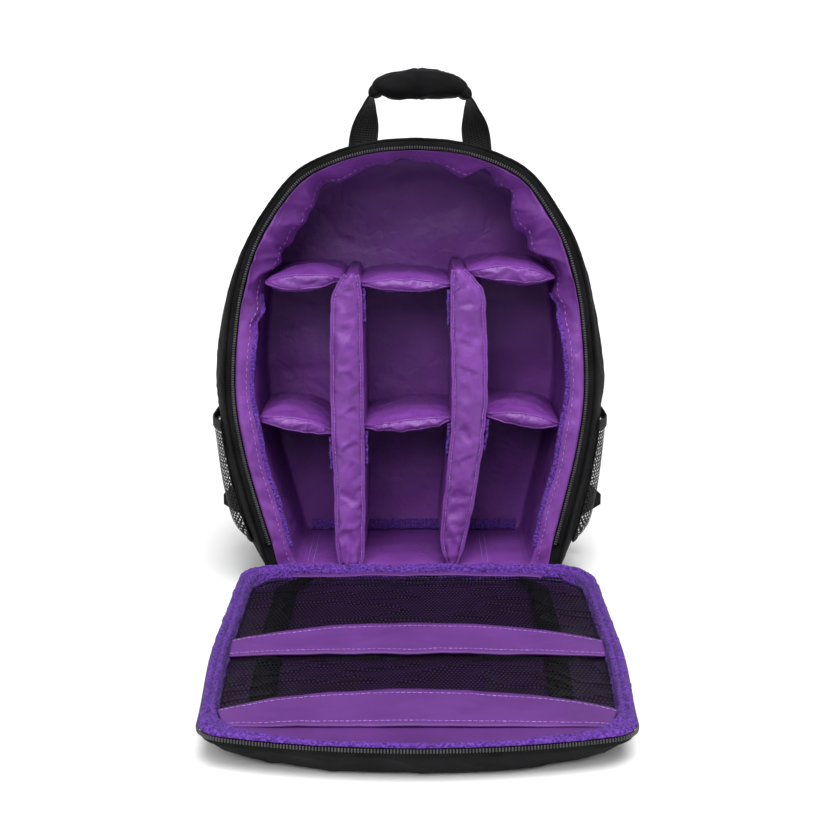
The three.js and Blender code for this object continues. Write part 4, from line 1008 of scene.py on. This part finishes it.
# the divider and its side, then the shelf and which of its two heights
TABS = {
    "tab_top_middle_left": ("divider_left", 1, "shelf_top_middle", 2),
    "tab_top_middle_right": ("divider_right", -1, "shelf_top_middle", 3),
    "tab_low_left": ("divider_left", -1, "shelf_low_left", 3),
    "tab_low_middle_left": ("divider_left", 1, "shelf_low_middle", 2),
    "tab_low_middle_right": ("divider_right", -1, "shelf_low_middle", 3),
    "tab_low_right": ("divider_right", 1, "shelf_low_right", 2),
}
for seed, (name, (on, side, shelf, end)) in enumerate(TABS.items()):
    top = HEIGHT * SHELVES[shelf][end] - SHELF_SEAM * 1.3
    ys = lerp(TAB_NEAR, TAB_FAR, np.linspace(0, 1, 16))
    zs = lerp(top - TAB_LENGTH, top, np.linspace(0, 1, 20))
    y, z = np.meshgrid(ys, zs)
    flare = 1.1 + 2.0 * ease(1 - (y - CELL_FRONT - 2) / 14)
    rows = np.stack([divider_x(on, side, y, z) + side * flare, y, z], axis=2)
    fray = rough(rows, 2.2, 120 + seed)
    rows[:, 0, 1] += fray[:, 0] * 1.6
    rows[0, :, 2] += fray[0] * 4.0
    rows[:, :, 0] += side * 0.9 * rough(rows, (6, 6, 4), 130 + seed)
    piece = modify(skin(name + "_pile", rows, False, False), "SOLIDIFY", thickness=2.1 * MM, offset=0)
    dress(piece, loops, name)

# %% [markdown]
# ## The front panel
# The panel lies flat: a shallow tray of black cloth over foam, with a purple pad inside and brushed loop cloth
# rolled over its rim. All of these follow one outline, a rounded rectangle with a bowed near edge, which is
# inset and lowered for each row of points.

# %% Outline of the panel
PANEL_HALF, PANEL_LENGTH, PANEL_SHIFT, PANEL_RISE = 127, 309, 0.8, 22
PANEL_BOW, UNDERCUT, PANEL_TAPER = 17, 18, 0.055
HINGE_Y = RIM_Y - 2.5
NEAR_Y = HINGE_Y - PANEL_LENGTH
FAR_RADIUS, NEAR_RADIUS = 34, 20


def panel_taper(distance):
    return 1 - PANEL_TAPER * ease((distance / PANEL_LENGTH - 0.5) * 2.2)


def bezier(a, b, c, count):
    t = np.linspace(0, 1, count + 1)[:-1, None]
    return (1 - t) ** 2 * np.array(a) + 2 * t * (1 - t) * np.array(b) + t**2 * np.array(c)


def panel_ring(inset, z, hinge=None):
    """The panel's outline, inset, at a height, from the middle of the hinge round to the right."""
    hinge = inset if hinge is None else hinge
    half, far, near = PANEL_HALF - inset, HINGE_Y - hinge, NEAR_Y + inset
    shoulder, round_ = near + PANEL_BOW, NEAR_RADIUS + inset * 1.5
    line = lambda a, b, count: bezier(a, lerp(np.array(a), np.array(b), 0.5), b, count)
    right = np.concatenate([
        line((0, far), (half - FAR_RADIUS, far), 26),
        bezier((half - FAR_RADIUS, far), (half, far), (half, far - FAR_RADIUS), 22),
        line((half, far - FAR_RADIUS), (half, shoulder + round_), 84),
        bezier((half, shoulder + round_), (half, shoulder + 2), (half - round_, shoulder - round_ * 0.16), 22),
        bezier((half - round_, shoulder - round_ * 0.16), (half * 0.45, near), (0, near), 38),
    ])
    left = (right[1:] * [-1, 1])[::-1]
    flat = np.concatenate([right, [[0, near]], left])
    x = flat[:, 0] * panel_taper(HINGE_Y - flat[:, 1]) + PANEL_SHIFT
    return np.stack([x, flat[:, 1], np.full(len(flat), float(z))], axis=1)


def panel_rows(profile, count):
    """Rings through a smooth profile of (inset, height, inset at the hinge)."""
    return np.array([panel_ring(*p) for p in spline(profile, np.linspace(0, 1, count))])


print("the panel's outline has", len(panel_ring(0, 0)), "points")

# %% Tray, pad and hinge
outside = panel_rows([(18, 0, 5), (13, 1.6, 3.4), (9.9, 4, 2), (3.6, 12.1, 0.6), (0.6, 18, 0.2), (0, 22, 0)], 26)
held = np.sin(np.pi * np.linspace(0.05, 1, 26)) ** 0.6
dents = 0.9 * rough(outside, (34, 34, 14), 151) + 0.8 * creases(outside, (44, 44, 10), 152)
push = lean_to(outside, (13, 90), [-1, 0, 0])
front_on = ease((HINGE_Y - 6 - outside[:, :, 1]) / 20)
outside = outside - push * (np.maximum(dents, -0.6) * held[:, None] * front_on)[:, :, None]
inside = panel_rows([(1.5, 22.3, 1.5), (3, 22, 3), (6.6, 12.1, 3.6), (12.9, 7, 5), (21, 3, 8)], 14)
outside[:, :, 2] = np.maximum(outside[:, :, 2], 0)
tray_rows = [*reversed(cap(outside[0], 6)), *outside, *inside, *cap(inside[-1], 4)]
dress(skin("panel_tray", tray_rows), black_cloth, "panel_shell")

pad = panel_rows([(22, 3.4, 10), (13.4, 8.4, 7), (8.2, 12.6, 5), (6.4, 14, 5.5), (9, 14.3, 8), (14, 14, 12)], 18)
pad_top = np.array(cap(pad[-1], 30))
pad_top[:, :, 2] += 0.5 * rough(pad_top, (40, 40, 10), 155) - 0.3
pad = np.concatenate([pad, pad_top])
pad[:, :, 2] += 5.4 * ease((HINGE_Y - pad[:, :, 1] - 258) / 16) * ease((pad[:, :, 2] - 8) / 5)
piece = dress(skin("panel_pad_cloth", [*reversed(cap(pad[0], 4)), *pad]), nylon_taut, "panel_pad")

half = PANEL_HALF - FAR_RADIUS - 6
hinge_ends = np.array([[-half, HINGE_Y + 1.1, 11.0], [half, HINGE_Y + 1.1, 11.0]])
hinge_line = lerp(*hinge_ends, np.linspace(0, 1, 60)[:, None]) + [PANEL_SHIFT, 0, 0]
dress(strip("panel_hinge_cloth", hinge_line, [0, 0, 1], oval(18, 1.5, 14, 0.5)), black_cloth, "panel_hinge")

# %% [markdown]
# The rolled edge is loop cloth again. It is a closed ring with a rounded section, and its surface wanders by a
# millimetre or so, because brushed pile is never crisp.

# %% Rolled edge
ROLL_PROFILE = [
    (-1.6, 22.3, -1.4), (-1.0, 24.3, -1.0), (0.6, 25.7, 0.5), (2.4, 25.3, 1.8), (3.8, 23.8, 2.8),
    (5.4, 24.6, 3.8), (7.0, 23.0, 4.8), (8.2, 19.0, 5.6), (9.2, 15.2, 6.4), (8.4, 14.9, 5.8),
    (6.6, 15.2, 4.8), (4.6, 20, 4.0), (3.4, 22.4, 3.2), (0.5, 22.2, 0.5), (-1.6, 22.3, -1.4),
]
roll = panel_rows(ROLL_PROFILE, 49)[:-1]
facing = lean_to(roll, (8, 90), [0, 0, 1])
shown = np.where(np.arange(len(roll)) < 32, 1.0, 0.15)
tufts = 1.1 * rough(roll, (10, 10, 8), 161) + 0.7 * rough(roll, 2.6, 162)
roll = roll + facing * (tufts * shown[:, None])[:, :, None]
base = panel_ring(1.5, 22)
near = ease((NEAR_Y + 30 - base[:, 1]) / 24)
roll[:, :, 1] = lerp(roll[:, :, 1], base[:, 1], 0.42 * near)
roll[:, :, 2] = lerp(roll[:, :, 2], 21.6, 0.4 * near)
dress(skin("panel_edge_pile", np.concatenate([roll, roll[:1]])), loops, "panel_edge_roll")

# %% [markdown]
# ## Zip on the panel
# The other half of the zip runs round the outside of the rim, just under the roll, so its teeth show as a fine
# comb along the near edge.

# %% Panel zip
LEAN = UNDERCUT * 0.2 / (PANEL_RISE * 0.45)


def zip_ring(out, drop):
    line = panel_ring(drop * LEAN - out, PANEL_RISE - drop, 0)
    return line[30 : len(line) - 29]


tape = zip_ring(1.1, 3.5)
dress(strip("panel_zip_tape", tape, [0, 0, 1], oval(5.2, 1.0, 10, 0.4)), black_cloth, "panel_zip")
teeth_line = zip_ring(2.1, 1.2)
dress(repeat("panel_zip_teeth", tooth, *along(teeth_line, TOOTH_PITCH, [0, 0, 1])), coil)

# %% [markdown]
# ## Mesh pockets
# Two pockets of black net lie on the pad, each with a hemmed purple band along its near side. The bands are
# arched a little, as elastic edges are. A band is a sheet of cloth, and its flat size comes from the panel: as
# long as the panel is wide between the rolls, and as wide as the band shows in the photo.

# %% Surfaces of the pockets
MESH_START, MIDDLE_FAR, NEAR_FAR, NEAR_CORNER = 13, *(PANEL_LENGTH * share for share in (0.44, 0.796, 0.83))
BAND_WIDTH, SWEEP, TUCKED, NET_HALF = 31, 12, 8.6, 117
# at, height, lift and sweep of the far edge, and of the near edge
SHEETS = {
    "mesh_far": ((MESH_START, 18.5, 2, 0), (MIDDLE_FAR + 2, 19.1, 6.6, SWEEP)),
    "band_middle": ((MIDDLE_FAR, 21.0, 7, SWEEP), (MIDDLE_FAR + BAND_WIDTH, 17.6, 1.8, 0)),
    "mesh_near": ((MIDDLE_FAR + BAND_WIDTH - 1, 16.4, 1.6, 0), (NEAR_FAR + 2, 19.1, 6.6, SWEEP)),
    "band_near": ((NEAR_FAR, 21.0, 7, SWEEP), (NEAR_FAR + BAND_WIDTH, 19.2, 0.3, 0)),
}


def pocket_point(name, across, share):
    """A point of a pocket sheet: across runs -1 to 1, share from the near edge, 0, to the far one, 1."""
    far, near = SHEETS[name]
    at, z, lift, sweep = (lerp(n, f, share) for f, n in zip(far, near))
    distance = at + sweep * across**2
    corner = 1 - 0.11 * ease(1 - (distance - MESH_START) / 24) - 0.045 * ease((distance - NEAR_CORNER) / 24)
    half = (PANEL_HALF - TUCKED) * corner * panel_taper(distance)
    height = z + lift * (1 - np.abs(across) ** 2.5) + 0.6
    return np.stack([PANEL_SHIFT + across * half, HINGE_Y - distance, height], axis=-1)


for name, seed in (("band_middle", 171), ("band_near", 173)):
    across, share = np.meshgrid(np.linspace(-1, 1, 150), np.linspace(0, 1, 18))
    rows = pocket_point(name, across, share)
    rows[:, :, 2] += 0.7 * rough(rows, (26, 14, 10), seed) + 0.3 * creases(rows, (30, 9, 9), seed + 1)
    rows[:, :, 1] += 0.8 * rough(rows, (34, 30, 30), seed + 2) * bump_at(share, 0, 0.4)
    piece = skin(name + "_cloth", rows, False, False)
    modify(piece, "SOLIDIFY", thickness=1.3 * MM, offset=0)
    dress(piece, nylon_taut, name)
    far, near = rows[-3] + [0, 0, 0.8], rows[2] + [0, 0, 0.8]
    hems = [
        dress(sew(f"{name}_stitches_{word}", line, [0, 1, 0], 3.2), thread)
        for line, word in ((far, "far"), (near, "near"))
    ]

# %% [markdown]
# The net has long hexagonal cells. One cell is modelled: a six-sided ring, whose middle is inset and deleted.
# Its copies are laid out flat, welded to each other, and only then moved onto the pocket's surface, so the
# threads stretch with the cloth as real net does.


# %% Net cells
NET_WELD = 2e-5
NET_DEPTHS = {"mesh_far": 118, "mesh_near": 80}


def net_cell(across, deep, strand):
    """A flat hexagonal ring, as wide as across and as long as deep, in millimetres."""
    bpy.ops.mesh.primitive_circle_add(vertices=6, radius=1, fill_type="NGON")
    cell = bpy.context.object
    edit_all()
    bpy.ops.mesh.inset(thickness=strand)
    bpy.ops.mesh.delete(type="FACE")
    bpy.ops.object.mode_set(mode="OBJECT")
    for vertex in cell.data.vertices:
        vertex.co = (vertex.co.x * across / math.sqrt(3) * MM, vertex.co.y * deep / 2 * MM, 0)
    return cell


def net(name, spot, wide, deep, pitch=(2.5, 4.6), strand=0.4, seed=0):
    """Net over a surface. spot(x, y) gives the place in space of flat points, both in millimetres."""
    cell = net_cell(*pitch, strand)
    row_pitch = pitch[1] * 0.75
    rows, columns = int(deep / row_pitch), int(wide / pitch[0])
    i, j = np.meshgrid(np.arange(columns), np.arange(rows))
    x = (i + 0.5 + 0.5 * (j % 2) - 0.25) * wide / columns - wide / 2
    y = (j + 0.5) * deep / rows
    places = np.stack([x.ravel(), y.ravel(), np.zeros(x.size)], axis=1)
    stretch = np.diag([wide / columns / pitch[0], deep / rows / row_pitch, 1])
    piece = repeat(name, cell, places, np.broadcast_to(stretch, (len(places), 3, 3)))
    bpy.data.objects.remove(cell)
    edit_all()
    bpy.ops.mesh.remove_doubles(threshold=NET_WELD)
    bpy.ops.object.mode_set(mode="OBJECT")
    co = places_of(piece)
    wander = 0.35 * rough(co, (6, 6, 6), seed)
    x = np.clip(co[:, 0] + wander, -wide / 2, wide / 2)
    move_to(piece, spot(x, np.clip(co[:, 1], 0, deep)))
    return piece


def pocket_spot(name, deep, seed):
    """The surface of a pocket, with the folds of loose net."""

    def spot(x, y):
        points = pocket_point(name, x / NET_HALF, y / deep)
        folds = 1.2 * rough(points, (22, 26, 20), seed) + 1.4 * creases(points, (44, 20, 20), seed + 7)
        points[:, 2] += folds - 0.7
        return points

    return spot


for (name, deep), seed in zip(NET_DEPTHS.items(), (181, 183)):
    piece = net(name.replace("mesh", "net"), pocket_spot(name, deep, seed), 2 * NET_HALF, deep, seed=seed)
    dress(piece, net_thread, name)

# %% [markdown]
# The far edge of the far net is sewn to the pad under a narrow nylon hem.

# %% Far hem
hem_line = pocket_point("mesh_far", np.linspace(-0.86, 0.86, 160), np.full(160, 0.985))
hem_line[:, 1] += 1.6 * rough(hem_line, (16, 40, 40), 187)
hem_line[:, 2] += 1.2 + 0.8 * rough(hem_line, (24, 40, 40), 188)
dress(strip("net_far_hem", hem_line, [0, 1, 0.1], oval(5.0, 1.2, 10, 0.6), False, 0.15, 189), nylon_taut)

# %% [markdown]
# Near each side the net is folded double into a dark pleat, which gives the pockets room. The pleats lie just
# under the net.

# %% Pleats
for name in NET_DEPTHS:
    for low, high, word in ((-100, -84, "left"), (78, 93, "right")):
        x, y = np.meshgrid(np.linspace(low, high, 9), np.linspace(0.02, 0.98, 30))
        rows = pocket_point(name, x / NET_HALF, y)
        rows[:, :, 2] -= 1.0 + 0.4 * np.cos((x - low) / (high - low) * 2 * np.pi)
        piece = skin(name.replace("mesh", "pleat") + "_" + word, rows, False, False)
        dress(modify(piece, "SOLIDIFY", thickness=0.6 * MM, offset=-1), net_double)

# %% [markdown]
# ## Side pockets
# Each side of the bag has a net pocket, sewn on round three edges and held by elastic tape along the top.

# %% Side pockets
SHELL_LINES = {}


def shell_x(side, y, z):
    """X of the shell's outside."""
    key = round(float(y), 2)
    if key not in SHELL_LINES:
        SHELL_LINES[key] = shell_ring(float(np.clip((key - RIM_Y) / DEPTH, 0, 1)))
    return x_at(SHELL_LINES[key], side, z)


POCKET_FRONT, POCKET_DEPTH, POCKET_BASE, POCKET_HEIGHT = RIM_Y + 12, 68, 38, 92
swell_of = table((0, 0.0), (0.06, 0.8), (0.14, 1.0), (0.4, 0.8), (0.75, 0.55), (1.0, 0.5))


SEAT_DEEP, SEAT_HIGH = 34, 46


def side_spot(side, swell):
    """The surface of a side pocket, over a grid of points on the shell."""
    ys = np.linspace(POCKET_FRONT, POCKET_FRONT + POCKET_DEPTH, SEAT_DEEP + 1)
    zs = np.linspace(POCKET_BASE, POCKET_BASE + POCKET_HEIGHT, SEAT_HIGH + 1)
    seat = np.array([shell_x(side, y, zs) for y in ys])

    def spot(x, y):
        s = np.clip(x / POCKET_DEPTH + 0.5, 0, 1)
        h = np.clip(y / POCKET_HEIGHT, 0, 1)
        i, j = s * SEAT_DEEP, h * SEAT_HIGH
        i0, j0 = np.minimum(i.astype(int), SEAT_DEEP - 1), np.minimum(j.astype(int), SEAT_HIGH - 1)
        fi, fj = i - i0, j - j0
        low, high = (seat[i0, k] * (1 - fi) + seat[i0 + 1, k] * fi for k in (j0, j0 + 1))
        base = low * (1 - fj) + high * fj
        out = 1.4 + swell * swell_of(h) * (1 - (2 * s - 1) ** 4)
        y, z = POCKET_FRONT + POCKET_DEPTH * s, POCKET_BASE + POCKET_HEIGHT * h
        return np.stack([base + side * out, y, z], axis=1)

    return spot


for side, swell, word in ((-1, 8, "left"), (1, 7, "right")):
    spot = side_spot(side, swell)
    piece = net(f"side_net_{word}", spot, POCKET_DEPTH, POCKET_HEIGHT, (2.8, 3.3), 0.36, 190 + side)
    dress(piece, net_thread, f"side_pocket_{word}")
    x = np.linspace(-34, 34, 60)
    top = spot(x, np.full(60, POCKET_HEIGHT - 3.0))
    edge = np.concatenate([
        spot(np.full(50, -33.5), np.linspace(POCKET_HEIGHT - 2, 1, 50)),
        spot(x, np.full(60, 1.0))[1:-1],
        spot(np.full(50, 33.5), np.linspace(1, POCKET_HEIGHT - 2, 50)),
    ])
    hem = dress(strip(f"side_hem_{word}", top, [0, 0, 1], oval(8, 1.4, 12, 0.5)), webbing)
    binding = dress(strip(f"side_binding_{word}", edge, [side, 0, 0.01], oval(1.2, 3.4, 10, 0.6)), black_cloth)

# %% [markdown]
# ## Grab handle
# The handle is one strip of webbing. It leaves the back flat, turns edge-on by a quarter, and passes through a
# padded grip that is stitched shut at both ends.

# %% Handle line
# across and up, as shares of the handle's size, and the webbing's twist in degrees
HANDLE = [
    (-0.5, -0.12, 0), (-0.485, 0.1, 0), (-0.46, 0.3, 28), (-0.435, 0.5, 60), (-0.405, 0.68, 85), (-0.33, 0.8, 90),
    (-0.2, 0.84, 90), (0.0, 0.87, 90), (0.2, 0.845, 90), (0.33, 0.785, 90), (0.41, 0.66, 95), (0.44, 0.47, 122),
    (0.465, 0.28, 155), (0.485, 0.1, 180), (0.5, -0.12, 180),
]
HANDLE_Y, HANDLE_X, HANDLE_SPAN, HANDLE_RISE, GRIP_TURNS = BACK_Y + 1.3, 3, 91, 60, 90
HANDLE_POINTS = [
    (HANDLE_X + a * HANDLE_SPAN, HANDLE_Y, HEIGHT - BACK_INSET + r * HANDLE_RISE + 4) for a, r, _ in HANDLE
]
twist_at = lambda t: np.interp(t * 14, np.arange(15), [row[2] for row in HANDLE])


def handle_line(start, stop, count):
    """Points of the webbing's middle and its wide direction between two shares of the handle."""
    t = np.linspace(start, stop, count)
    twist = np.radians(twist_at(t))
    return spline(HANDLE_POINTS, t), np.stack([np.cos(twist), np.sin(twist), np.zeros(count)], axis=1)


line, wide = handle_line(0, 1, 240)
dress(strip("handle_strap", line, wide, oval(22, 2.1, 20, 0.25)), webbing, "handle_webbing")

# %% [markdown]
# The grip starts as a row of ovals, thickest in the middle. Its foam is drawn in by the stitching at each end,
# and the cloth creases along the hand.

# %% Grip
line, wide = handle_line(0.285, 0.715, GRIP_TURNS)
share = np.linspace(0, 1, GRIP_TURNS)
full = np.sin(np.pi * share) ** 0.6
sections = np.array([oval(lerp(24, 27, f), lerp(5, 20, f), 36, 0.75) for f in full])
rows = swept(line, wide, sections)
facing = lean_to(rows, 45, rows[45] - line[45])
pinch = 0.7 * bump_at(share, 0.1, 0.02) + 0.7 * bump_at(share, 0.9, 0.02)
relief = 1.0 * rough(rows, (16, 9, 9), 201) + 1.1 * creases(rows, (30, 9, 9), 202) - 0.6
rows = rows + facing * (relief * full[:, None] ** 2 - pinch[:, None])[:, :, None]
rows[:, :, 2] -= 1.0 + 3.4 * full[:, None] ** 3 * ease((line[:, None, 2] - rows[:, :, 2]) / 8)
bore = swept(line, wide, oval(24, 3.4, 36, 0.3))
grip_rows = np.concatenate([rows, bore[::-1], rows[:1]])
piece = dress(skin("handle_sleeve", grip_rows), black_cloth, "handle_grip")
for at, word in ((5, "left"), (84, "right")):
    loop = rows[at] + facing[at] * 0.2
    ahead = np.broadcast_to(line[at + 1] - line[at], loop.shape)
    dress(sew(f"handle_stitches_{word}", loop, ahead, 3.0, True), net_thread)

# %% [markdown]
# ## Shoulder straps
# The straps hang behind the bag. Each is a curved pad, a loop and a buckle, and a lower webbing that comes up
# from a cloth tab in the side seam. They follow the same lines as the solids.

# %% Strap lines
# across, drop, standoff and width of the pad, as shares
STRAP = [
    (0.0, 0.0, 0.0, 0.75), (0.03, 0.08, 0.1, 0.9), (0.2, 0.3, 0.75, 1.0), (0.5, 0.55, 1.0, 1.0),
    (0.8, 0.8, 0.85, 0.95), (1.0, 1.0, 0.6, 0.7),
]
STRAP_BACK, STRAP_TOP, STRAP_END, STRAP_X, STRAP_OUT, STRAP_WIDE = BACK_Y + 0.6 + 4.5, HEIGHT - 19, 120, 40, 26, 58
SLOT, BUCKLE_HEIGHT, BUCKLE_THICK, WEB_SECTION = 6, 30, 5, oval(25, 2, 16, 0.25)
TAB_Y, TAB_REACH = BACK_Y - 22, 26


def strap_point(side, across, drop, standoff):
    height = lerp(STRAP_TOP, STRAP_END, drop)
    return np.array([side * STRAP_X * (1 + across), STRAP_BACK + STRAP_OUT * standoff, height])


def buckle_middle(side):
    return strap_point(side, 1.09, 1 + 26 / (STRAP_TOP - STRAP_END), 0.78)


def through(points, count):
    return even(spline(points, np.linspace(0, 1, 400)), count)


# %% [markdown]
# A ladder buckle is a moulded plate with two slots. It starts as a grid of three by five faces, two of which
# are deleted. Then the plate is given its thickness and its edges are rounded.


# %% Ladder buckle
def make_buckle(name, middle):
    bpy.ops.mesh.primitive_grid_add(x_subdivisions=3, y_subdivisions=5, size=1)
    piece = bpy.context.object
    piece.name = piece.data.name = name
    xs, zs = [-17.5, -14, 14, 17.5], [-15, -9, -3, 3, 9, 15]
    for k, vertex in enumerate(piece.data.vertices):
        vertex.co = ((middle + [xs[k % 4], 0, zs[k // 4]]) * MM).tolist()
    bpy.ops.object.mode_set(mode="EDIT")
    bpy.ops.mesh.select_all(action="DESELECT")
    bpy.ops.object.mode_set(mode="OBJECT")
    for face in (4, 10):
        piece.data.polygons[face].select = True
    bpy.ops.object.mode_set(mode="EDIT")
    bpy.ops.mesh.select_mode(type="FACE")
    bpy.ops.mesh.delete(type="FACE")
    bpy.ops.object.mode_set(mode="OBJECT")
    modify(piece, "SOLIDIFY", thickness=BUCKLE_THICK * MM, offset=0)
    modify(piece, "BEVEL", width=1.1 * MM, segments=3, limit_method="ANGLE")
    bpy.ops.object.shade_smooth_by_angle(angle=math.radians(40))
    return piece


# %% Straps
STRAP_WIDTHS = ([row[1] for row in STRAP], [row[3] for row in STRAP])
for side, word in ((-1, "left"), (1, "right")):
    line = through([strap_point(side, *row[:3]) for row in STRAP], 90)
    share = np.linspace(0, 1, 90)
    wide = np.interp(share, *STRAP_WIDTHS) * STRAP_WIDE
    ends = ease(np.minimum(share, 1 - share) / 0.02)
    sections = []
    for w, e in zip(wide, ends):
        part = oval(w, lerp(4, 9, e), 40, 0.45)
        seam = 1.3 * bump_at(np.abs(part[:, 0]), w * 0.4, 1.6)
        part[:, 1] -= np.sign(part[:, 1]) * seam
        sections.append(part)
    piece = strip(f"strap_cloth_{word}", line, [1, 0, 0], np.array(sections), flaw=0.12, seed=210 + side)
    dress(piece, black_cloth, f"strap_pad_{word}")

    pad, middle = strap_point(side, 1.0, 1.0, 0.6), buckle_middle(side)
    behind = middle[1] - BUCKLE_THICK / 2 - 0.8 - 1
    slot_z = middle[2] + SLOT
    loop = through([
        (pad[0], pad[1], pad[2] - 3), (lerp(pad[0], middle[0], 0.5), lerp(pad[1], behind, 0.9), pad[2] - 8),
        (middle[0], behind, slot_z + SLOT), (middle[0], behind, slot_z + SLOT * 0.4),
        (middle[0], behind + 1, slot_z + 0.3), (middle[0], middle[1] + BUCKLE_THICK / 4, slot_z),
    ], 40)
    dress(strip(f"strap_end_{word}", loop, [1, 0, 0], WEB_SECTION), webbing, f"strap_loop_{word}")
    dress(make_buckle(f"buckle_{word}", middle), plastic, f"strap_buckle_{word}")

    tip = shell_x(side, TAB_Y, 50) + side * TAB_REACH
    anchor, seat, low = tip - side * TAB_REACH / 2, TAB_Y + 1.5 + 0.9 + 1, middle[2] - BUCKLE_HEIGHT / 2
    slot_z, outside = low + 6 + SLOT / 2, 2 * middle[1] - behind
    web = through([
        (anchor, seat, 47), (anchor - side * 4, seat + 7, 47), (lerp(anchor, middle[0], 0.4), BACK_Y + 12, 56),
        (lerp(anchor, middle[0], 0.88), behind - 4, lerp(50, low, 0.6)), (middle[0], behind - 0.2, low - 6),
        (middle[0], behind, low), (middle[0], behind, slot_z - 1), (middle[0], behind + 1.2, slot_z + 0.8),
        (middle[0], outside - 1.2, slot_z + 0.8), (middle[0], outside, slot_z - 1), (middle[0], outside, low - 3),
        (middle[0] - side * 4, outside + 3, low - 45),
    ], 160)
    turned = ease((np.linspace(0, 1, 160) - 0.08) / 0.3)[:, None]
    way = turned * [side, 0, 0] + (turned - 1) * [0, 0, side]
    dress(strip(f"strap_tail_{word}", web, way, WEB_SECTION), webbing, f"strap_webbing_{word}")

    rows = []
    for share in np.linspace(0, 1, 24):
        z = lerp(22, 72, np.linspace(0, 1, 30))
        x = lerp(np.array([float(shell_x(side, TAB_Y, k)) for k in z]) + side * 0.4, tip, share)
        z = lerp(z, lerp(45.0, 53.0, np.linspace(0, 1, 30)), share)
        rows.append(np.stack([x, np.full(30, float(TAB_Y)), z], axis=1))
    piece = modify(skin(f"side_tab_{word}", rows, False, False), "SOLIDIFY", thickness=2.8 * MM, offset=0)
    dress(piece, webbing, f"strap_tab_{word}")

# %% [markdown]
# ## Floor, light and camera
# The bag stands on a pale floor that curves up far behind it. A wide sun lights it from above and before, a large
# soft light hangs in front, a weak one fills from each side, and the sky lights the rest. The camera stands where
# the photo was taken from: its lens comes from a pinhole camera fitted to the bag's known points.

# %% Floor
FLOOR_NEAR, FLOOR_FAR, FLOOR_HALF, FLOOR_BEND, FLOOR_WALL, FLOOR_DROP = -620, 2200, 1600, 900, 3600, 0.2
floor_line = [(y, 0.0) for y in np.linspace(FLOOR_NEAR, FLOOR_FAR, 12)]
for angle in np.linspace(0.15, 1.5, 10):
    floor_line.append((FLOOR_FAR + FLOOR_BEND * math.sin(angle), FLOOR_BEND - FLOOR_BEND * math.cos(angle)))
floor_line.append((FLOOR_FAR + FLOOR_BEND, FLOOR_WALL))
xs = np.linspace(-FLOOR_HALF, FLOOR_HALF, 9)
floor = skin("studio_floor", [[(x, y, z - FLOOR_DROP) for x in xs] for y, z in floor_line], False, False)
paper = bpy.data.materials.new("pale_floor")
paper.use_nodes = True
paper_shader = paper.node_tree.nodes["Principled BSDF"]
paper_shader.inputs["Base Color"].default_value = (0.86, 0.86, 0.86, 1)
paper_shader.inputs["Roughness"].default_value = 0.9
floor.data.materials.append(paper)


# %% Lights
def aim(lamp, way):
    lamp.rotation_euler = Vector(way).to_track_quat("-Z", "Y").to_euler()


def soft_light(name, place, target, size, power):
    data = bpy.data.lights.new(name, "AREA")
    data.shape, data.size, data.energy = "DISK", size, power
    lamp = put(name, data)
    lamp.location = place
    aim(lamp, Vector(target) - Vector(place))


soft_light("key_light", (-0.3, -2.0, 1.35), (0, -0.1, 0.15), 1.4, 30)
soft_light("left_light", (-1.9, -0.9, 1.0), (0, 0, 0.15), 1.0, 5)
soft_light("right_light", (1.9, -0.8, 1.0), (0, 0, 0.15), 1.0, 6)
data = bpy.data.lights.new("wide_light", "SUN")
data.energy, data.angle = 3.0, math.radians(32)
aim(put("wide_light", data), (-0.1, 0.48, -1))
world = bpy.data.worlds.new("studio")
bpy.context.scene.world = world
world.use_nodes = True
sky = world.node_tree.nodes["Background"]
sky.inputs["Color"].default_value = (1, 1, 1, 1)
sky.inputs["Strength"].default_value = 0.34
bpy.context.scene.view_settings.view_transform = "Standard"
bpy.context.scene.view_settings.look = "None"

# %% Camera
SENSOR, FOCAL_PIXELS, PHOTO_PIXELS, SHIFT_PIXELS, DOWN = 36, 1458, 818, -7, 11.65
eye = bpy.data.cameras.new("photo_camera")
eye.sensor_width = SENSOR
eye.lens = FOCAL_PIXELS / PHOTO_PIXELS * SENSOR
eye.shift_x = SHIFT_PIXELS / PHOTO_PIXELS
camera = put("photo_camera", eye)
camera.location = (0, -1.092, 0.355)
camera.rotation_euler = (math.radians(90 - DOWN), 0, 0)
bpy.context.scene.camera = camera
print("lens:", round(eye.lens, 2), "mm")

# %% [markdown]
# ## Finish
# The small pieces that were copied are removed.

# %% Finish
for spare in (stitch, tooth):
    bpy.data.objects.remove(spare)
